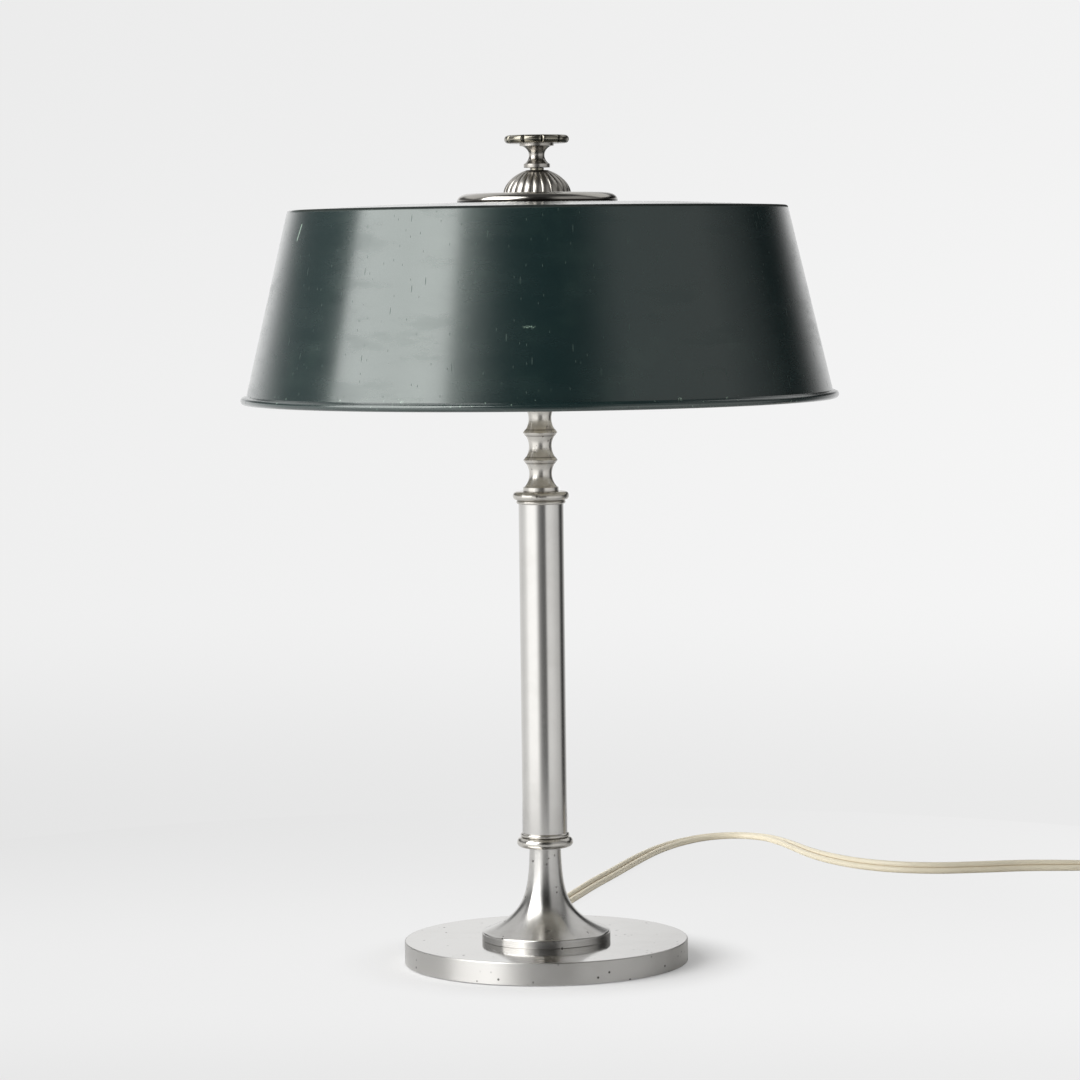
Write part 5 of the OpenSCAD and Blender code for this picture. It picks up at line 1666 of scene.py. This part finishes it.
@dataclass
class LampShade:
    """Spun cone with a rolled rim, and the crowned plate under the cap."""

    rim_z: float = 319.1
    rim_c: float = 165.0
    rim_r: float = 2.1
    foot_r: float = 164.3
    lean: float = 0.237
    thickness: float = 1.0
    top_z: float = 424.3
    edge_r: float = 1.5
    lip_w: float = 7.5
    crown: float = 2.9
    flat_r: float = 46.35
    seam: float = 0.15
    side_up: float = 2.6
    inside_up: float = 2.2
    level_t: float = 1.026
    lining_up: float = 2.0

    def side_r(self, z: float) -> float:
        """Outer radius of the cone at a height."""
        return self.foot_r - self.lean * (z - self.rim_z)

    def build(self) -> None:
        """Builds the cone and the plate, each lacquered outside and painted inside."""
        self.build_cone()
        self.build_plate()

    def build_cone(self) -> None:
        """Turns the cone: side, turned-over top edge and lip, then the inside down to the rim."""
        lean = math.atan(self.lean)
        a = math.degrees(lean)
        edge_z = self.top_z - self.edge_r
        edge_x = self.side_r(edge_z) - self.edge_r / math.cos(lean)
        lip_r = self.side_r(self.top_z) - self.lip_w
        lip_z = self.top_z - self.thickness
        outline = Outline().arc((self.rim_c, self.rim_z), self.rim_r, -205, 60, 26)
        outline.to(self.side_r(self.rim_z + self.side_up), self.rim_z + self.side_up)
        outline.to(edge_x + self.edge_r * math.cos(lean), edge_z + self.edge_r * math.sin(lean))
        outline.arc((edge_x, edge_z), self.edge_r, a, 90, 10)
        outline.to(lip_r, self.top_z).to(lip_r, lip_z).to(edge_x, lip_z)
        outline.arc((edge_x, edge_z), self.edge_r - self.thickness, 90, a, 6)
        inside_z = self.rim_z + self.inside_up
        outline.to(self.side_r(inside_z) - self.level_t, inside_z)
        cone = turned("shade_cone", outline, 320, 40.0)
        self._line_inside(cone)
        settle(cone, Finishes.LACQUER)

    def build_plate(self) -> None:
        """Turns the crowned plate: flat under the cap, then falling as the square outwards."""
        t = self.thickness
        step_r = self.side_r(self.top_z) - self.lip_w - self.seam
        plate_top = self.top_z + self.crown
        rim = self.side_r(self.top_z) - self.edge_r - 1.0
        s = np.linspace(0.0, 1.0, 40)
        r = self.flat_r + (step_r - self.flat_r) * s
        z = plate_top - self.crown * s * s
        low = self.top_z - t
        outline = Outline().at(rim, low - t).to(rim, low).to(step_r, low)
        outline.along(r[::-1], z[::-1])
        outline.to(TUBE_HOLE, plate_top).to(TUBE_HOLE, plate_top - t)
        outline.to(self.flat_r, plate_top - t)
        outline.along(r[1:-1], z[1:-1] - t)
        outline.to(step_r - t, low - t)
        plate = turned("shade_top", outline, 256, 40.0)
        self._line_inside(plate)
        settle(plate, Finishes.LACQUER)

    def _line_inside(self, piece: bpy.types.Object) -> None:
        """Gives the faces that look inwards or down inside the cone the pale paint."""
        mesh = piece.data
        mesh.materials.append(Finishes.LACQUER.material())
        mesh.materials.append(Finishes.SHADE_INSIDE.material())
        normal, middle = (np.zeros((len(mesh.polygons), 3), dtype=np.float32) for _ in range(2))
        mesh.polygons.foreach_get("normal", normal.ravel())
        mesh.polygons.foreach_get("center", middle.ravel())
        middle = middle / MM
        radius = np.hypot(middle[:, 0], middle[:, 1])
        outward = (normal[:, :2] * middle[:, :2]).sum(axis=1) / np.maximum(radius, 1e-6)
        inside = (outward < -0.3) | (normal[:, 2] < -0.5)
        inside &= middle[:, 2] > self.rim_z + self.lining_up
        mesh.polygons.foreach_set("material_index", inside.astype(np.int32))
        mesh.update()


@dataclass
class Crown:
    """Cap disc, fluted dome nut and the small bush on it."""

    cap_z: float = 427.2
    cap_r: float = 44.85
    cap_h: float = 5.4
    cap_edge_w: float = 7.0
    cap_edge_h: float = 4.2
    cap_foot_in: float = 3.0
    recess_r: float = 9.0
    recess_h: float = 0.6
    dome_r: float = 19.0
    dome_h: float = 12.7
    full_h: float = 13.7
    bulge: float = 1.7
    fullness: float = 0.55
    flutes: int = 22
    flute_depth: float = 1.15
    dome_foot_in: float = 1.4
    insert_r: float = 8.0
    insert_h: float = 8.5
    bush_r: float = 3.9
    bush_bore: float = 3.05
    bush_h: float = 10.0
    bush_stand: float = 1.3

    def build(self) -> None:
        """Builds the three pieces."""
        top = self.cap_z + self.cap_h
        self.build_cap(top)
        self.build_dome(top)
        bush_top = top + self.dome_h + self.bush_stand
        bush_low = bush_top - self.bush_h
        bush = Outline().at(self.bush_bore, bush_low).to(self.bush_r, bush_low)
        bush.to(self.bush_r, bush_top - 0.3).high_corner(self.bush_r, bush_top)
        bush.to(self.bush_bore, bush_top)
        settle(turned("spindle_bush", bush, 64), Finishes.KNOB)

    def build_cap(self, top: float) -> None:
        """Turns the cap: a quarter oval edge, and a shallow recess below."""
        z, foot_r = self.cap_z, self.cap_r - self.cap_foot_in
        cap = Outline().at(foot_r, z).to(self.cap_r - 0.3, z).low_corner(self.cap_r, z)
        a = np.radians(np.linspace(0.0, 90.0, 25))[1:]
        cap.to(self.cap_r, top - self.cap_edge_h)
        edge_r = self.cap_r - self.cap_edge_w * (1.0 - np.cos(a))
        cap.along(edge_r, top - self.cap_edge_h * (1.0 - np.sin(a)))
        cap.to(TUBE_HOLE, top).to(TUBE_HOLE, z).to(self.recess_r, z)
        cap.to(self.recess_r, z + self.recess_h).to(foot_r, z + self.recess_h)
        settle(turned("cap_disc", cap, 192), Finishes.CAP)

    def build_dome(self, z: float) -> None:
        """Fluted dome, cut flat near the top.

        At height h the radius is R (1 - (h / H) ^ bulge) ^ fullness. The groove between two flutes
        is 1 minus a circle's height, and it shrinks with the radius.
        """
        h = self.dome_h * np.sin(np.radians(np.linspace(0.0, 90.0, 30)))
        share = (1.0 - (h / self.full_h) ** self.bulge) ** self.fullness
        skin = np.column_stack([self.dome_r * share, z + h, self.flute_depth * share**0.8])
        top, insert_top = z + self.dome_h, z + self.insert_h
        bore = self.bush_r + 0.05
        edge = skin[-1]
        lid = [
            [edge[0] - 0.3, top, edge[2] * 0.2], [bore + 0.4, top, 0.0], [bore, top, 0.0],
            [bore, insert_top, 0.0], [self.insert_r, insert_top, 0.0], [self.insert_r, z, 0.0],
            [self.dome_r - self.dome_foot_in, z, self.flute_depth],
        ]
        dome = lobed(
            "fluted_dome_piece", np.vstack([skin, lid]), self.flutes, 18, 90.0,
            lambda t: 1.0 - np.sqrt(1.0 - 0.96 * t * t),
        )
        settle(dome, Finishes.CAST)


@dataclass
class Knob:
    """Knob that turns the switch: spool, scalloped disc and its screw."""

    low_z: float = 446.7
    spool_h: float = 13.5
    body_r: float = 7.35
    waist_r: float = 4.35
    cove_r: float = 5.3
    cove_z: float = 453.5
    head_r: float = 9.6
    bore_r: float = 3.05
    disc_r: float = 18.05
    disc_t: float = 4.5
    petals: int = 10
    petal_depth: float = 1.5
    first_petal: float = -62.0
    screw_head_r: float = 3.0
    screw_head_h: float = 1.5
    screw_head_sunk: float = 0.5
    screw_r: float = 1.5
    screw_l: float = 12.0

    def build(self) -> None:
        """Builds the spool, the disc and the screw."""
        self.build_spool()
        self.build_disc()
        self.build_screw()

    def build_spool(self) -> None:
        """Turns the spool: plain foot, deep cove, thin head that the cove just cuts into."""
        z0, z1 = self.low_z, self.low_z + self.spool_h
        centre_r = self.waist_r + self.cove_r
        below = math.degrees(math.acos((centre_r - self.body_r) / self.cove_r))
        above = math.degrees(math.acos((centre_r - self.head_r) / self.cove_r))
        outline = Outline().at(self.bore_r, z0).to(self.body_r - 0.3, z0)
        outline.low_corner(self.body_r, z0, steps=5)
        outline.arc((centre_r, self.cove_z), self.cove_r, 180.0 + below, 180.0 - above, 34)
        outline.to(self.head_r, z1).to(self.bore_r, z1)
        settle(turned("knob_spool", outline, 128, 28.0), Finishes.SPOOL, body=Body.KNOB)

    def build_disc(self) -> None:
        """Scalloped disc: a half-round edge with narrow grooves, and a face with a screw's well.

        The edge is a half circle of radius against height; the groove is the way to the valley to
        the power 9, deepest at the disc's middle height.
        """
        z = self.low_z + self.spool_h
        half = self.disc_t / 2.0
        rim_c = self.disc_r - half
        a = np.radians(np.linspace(-90.0, 90.0, 22))
        depth = self.petal_depth * (0.35 + 0.65 * np.cos(a))
        rim = np.column_stack([rim_c + half * np.cos(a), z + half + half * np.sin(a), depth])
        hole = self.screw_head_r + 0.05
        shank = self.screw_r + 0.05
        top = z + self.disc_t
        face = np.linspace(rim_c * 0.985, rim_c * 0.60, 8)[:, None]
        fade = np.linspace(0.33, 0.0, 8)[:, None] * self.petal_depth
        upper = np.hstack([face, np.full_like(face, top), fade])
        lower = np.hstack([face[::-1], np.full_like(face, z), fade[::-1]])
        well = np.array([
            [hole + 0.5, top, 0.0], [hole, top - 0.25, 0.0], [hole, top - 0.5, 0.0],
            [shank, top - 2.0, 0.0], [shank, z, 0.0],
        ])
        profile = np.vstack([rim, upper, well, lower])
        petals = (self.petals, 40, self.first_petal)
        disc = lobed("knob_disc_piece", profile, *petals, lambda t: t**9)
        settle(disc, Finishes.KNOB, body=Body.KNOB)

    def build_screw(self) -> None:
        """Turns the screw: a slightly domed head over a plain shank."""
        z = self.low_z + self.spool_h + self.disc_t - self.screw_head_sunk
        outline = Outline().at(0.0, z - self.screw_l).to(self.screw_r, z - self.screw_l)
        outline.to(self.screw_r, z - self.screw_head_h).to(self.screw_head_r - 0.1, z - 0.12)
        outline.at(self.screw_head_r - 0.4, z - 0.02).at(1.6, z - 0.005).at(0.0, z)
        settle(turned("knob_screw", outline, 48), Finishes.STEEL, body=Body.KNOB)


# ---------------------------------------------------------------- parts inside


@dataclass(frozen=True)
class Inside:
    """CAD nodes that keep their shape and only get a finish."""

    single: tuple[tuple[Finish, str], ...] = (
        (Finishes.FELT, "felt_pad"),
        (Finishes.STEEL, "base_cover cover_screws base_washer lamp_tube switch_screws"),
        (Finishes.STEEL, "switch_spindle hanger_tube rim_wire"),
        (Finishes.IRON, "ballast_disc"),
        (Finishes.BRASS, "base_nut cluster_body cluster_nut cluster_lid switch_blades"),
        (Finishes.BRASS, "shade_seat dome_insert"),
        (Finishes.MOULDING, "inner_flex"),
        (Finishes.PHENOLIC, "switch_body switch_base"),
        (Finishes.PORCELAIN, "switch_rotor"),
    )
    paired: tuple[tuple[Finish, str], ...] = (
        (Finishes.STEEL, "nipple"),
        (Finishes.HOLDER, "holder_cap holder_shell"),
        (Finishes.PORCELAIN, "holder_core"),
        (Finishes.BRASS, "holder_thread holder_contact"),
        (Finishes.BULB_METAL, "bulb_cap"),
        (Finishes.OPAL, "bulb_glass"),
    )

    def dress(self) -> None:
        """Puts each finish on its nodes' own objects; a paired name has a left and a right one."""
        for finish, names in self.single:
            for name in names.split():
                self._wear(name, finish)
        for finish, names in self.paired:
            for name in names.split():
                self._wear(f"{name}_left", finish)
                self._wear(f"{name}_right", finish)

    @staticmethod
    def _wear(name: str, finish: Finish) -> None:
        """Puts a finish on one node."""
        node = bpy.data.objects[name]
        node.data.materials.clear()
        node.data.materials.append(finish.material())
        LOG.info("%s dressed as %s", name, finish.name)


def main() -> None:
    """Builds the studio and the lamp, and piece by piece."""
    logging.basicConfig(level=logging.INFO, format="%(name)s: %(message)s")
    studio = Studio()
    studio.place_camera()
    MainsCord().build()
    studio.set_view()
    studio.light_room()
    studio.hang_softbox()
    studio.lay_floor()
    for part in (Base(), Foot(), Column(), Stem(), LampShade(), Crown(), Knob()):
        part.build()
    Inside().dress()


if __name__ == "__main__":
    main()
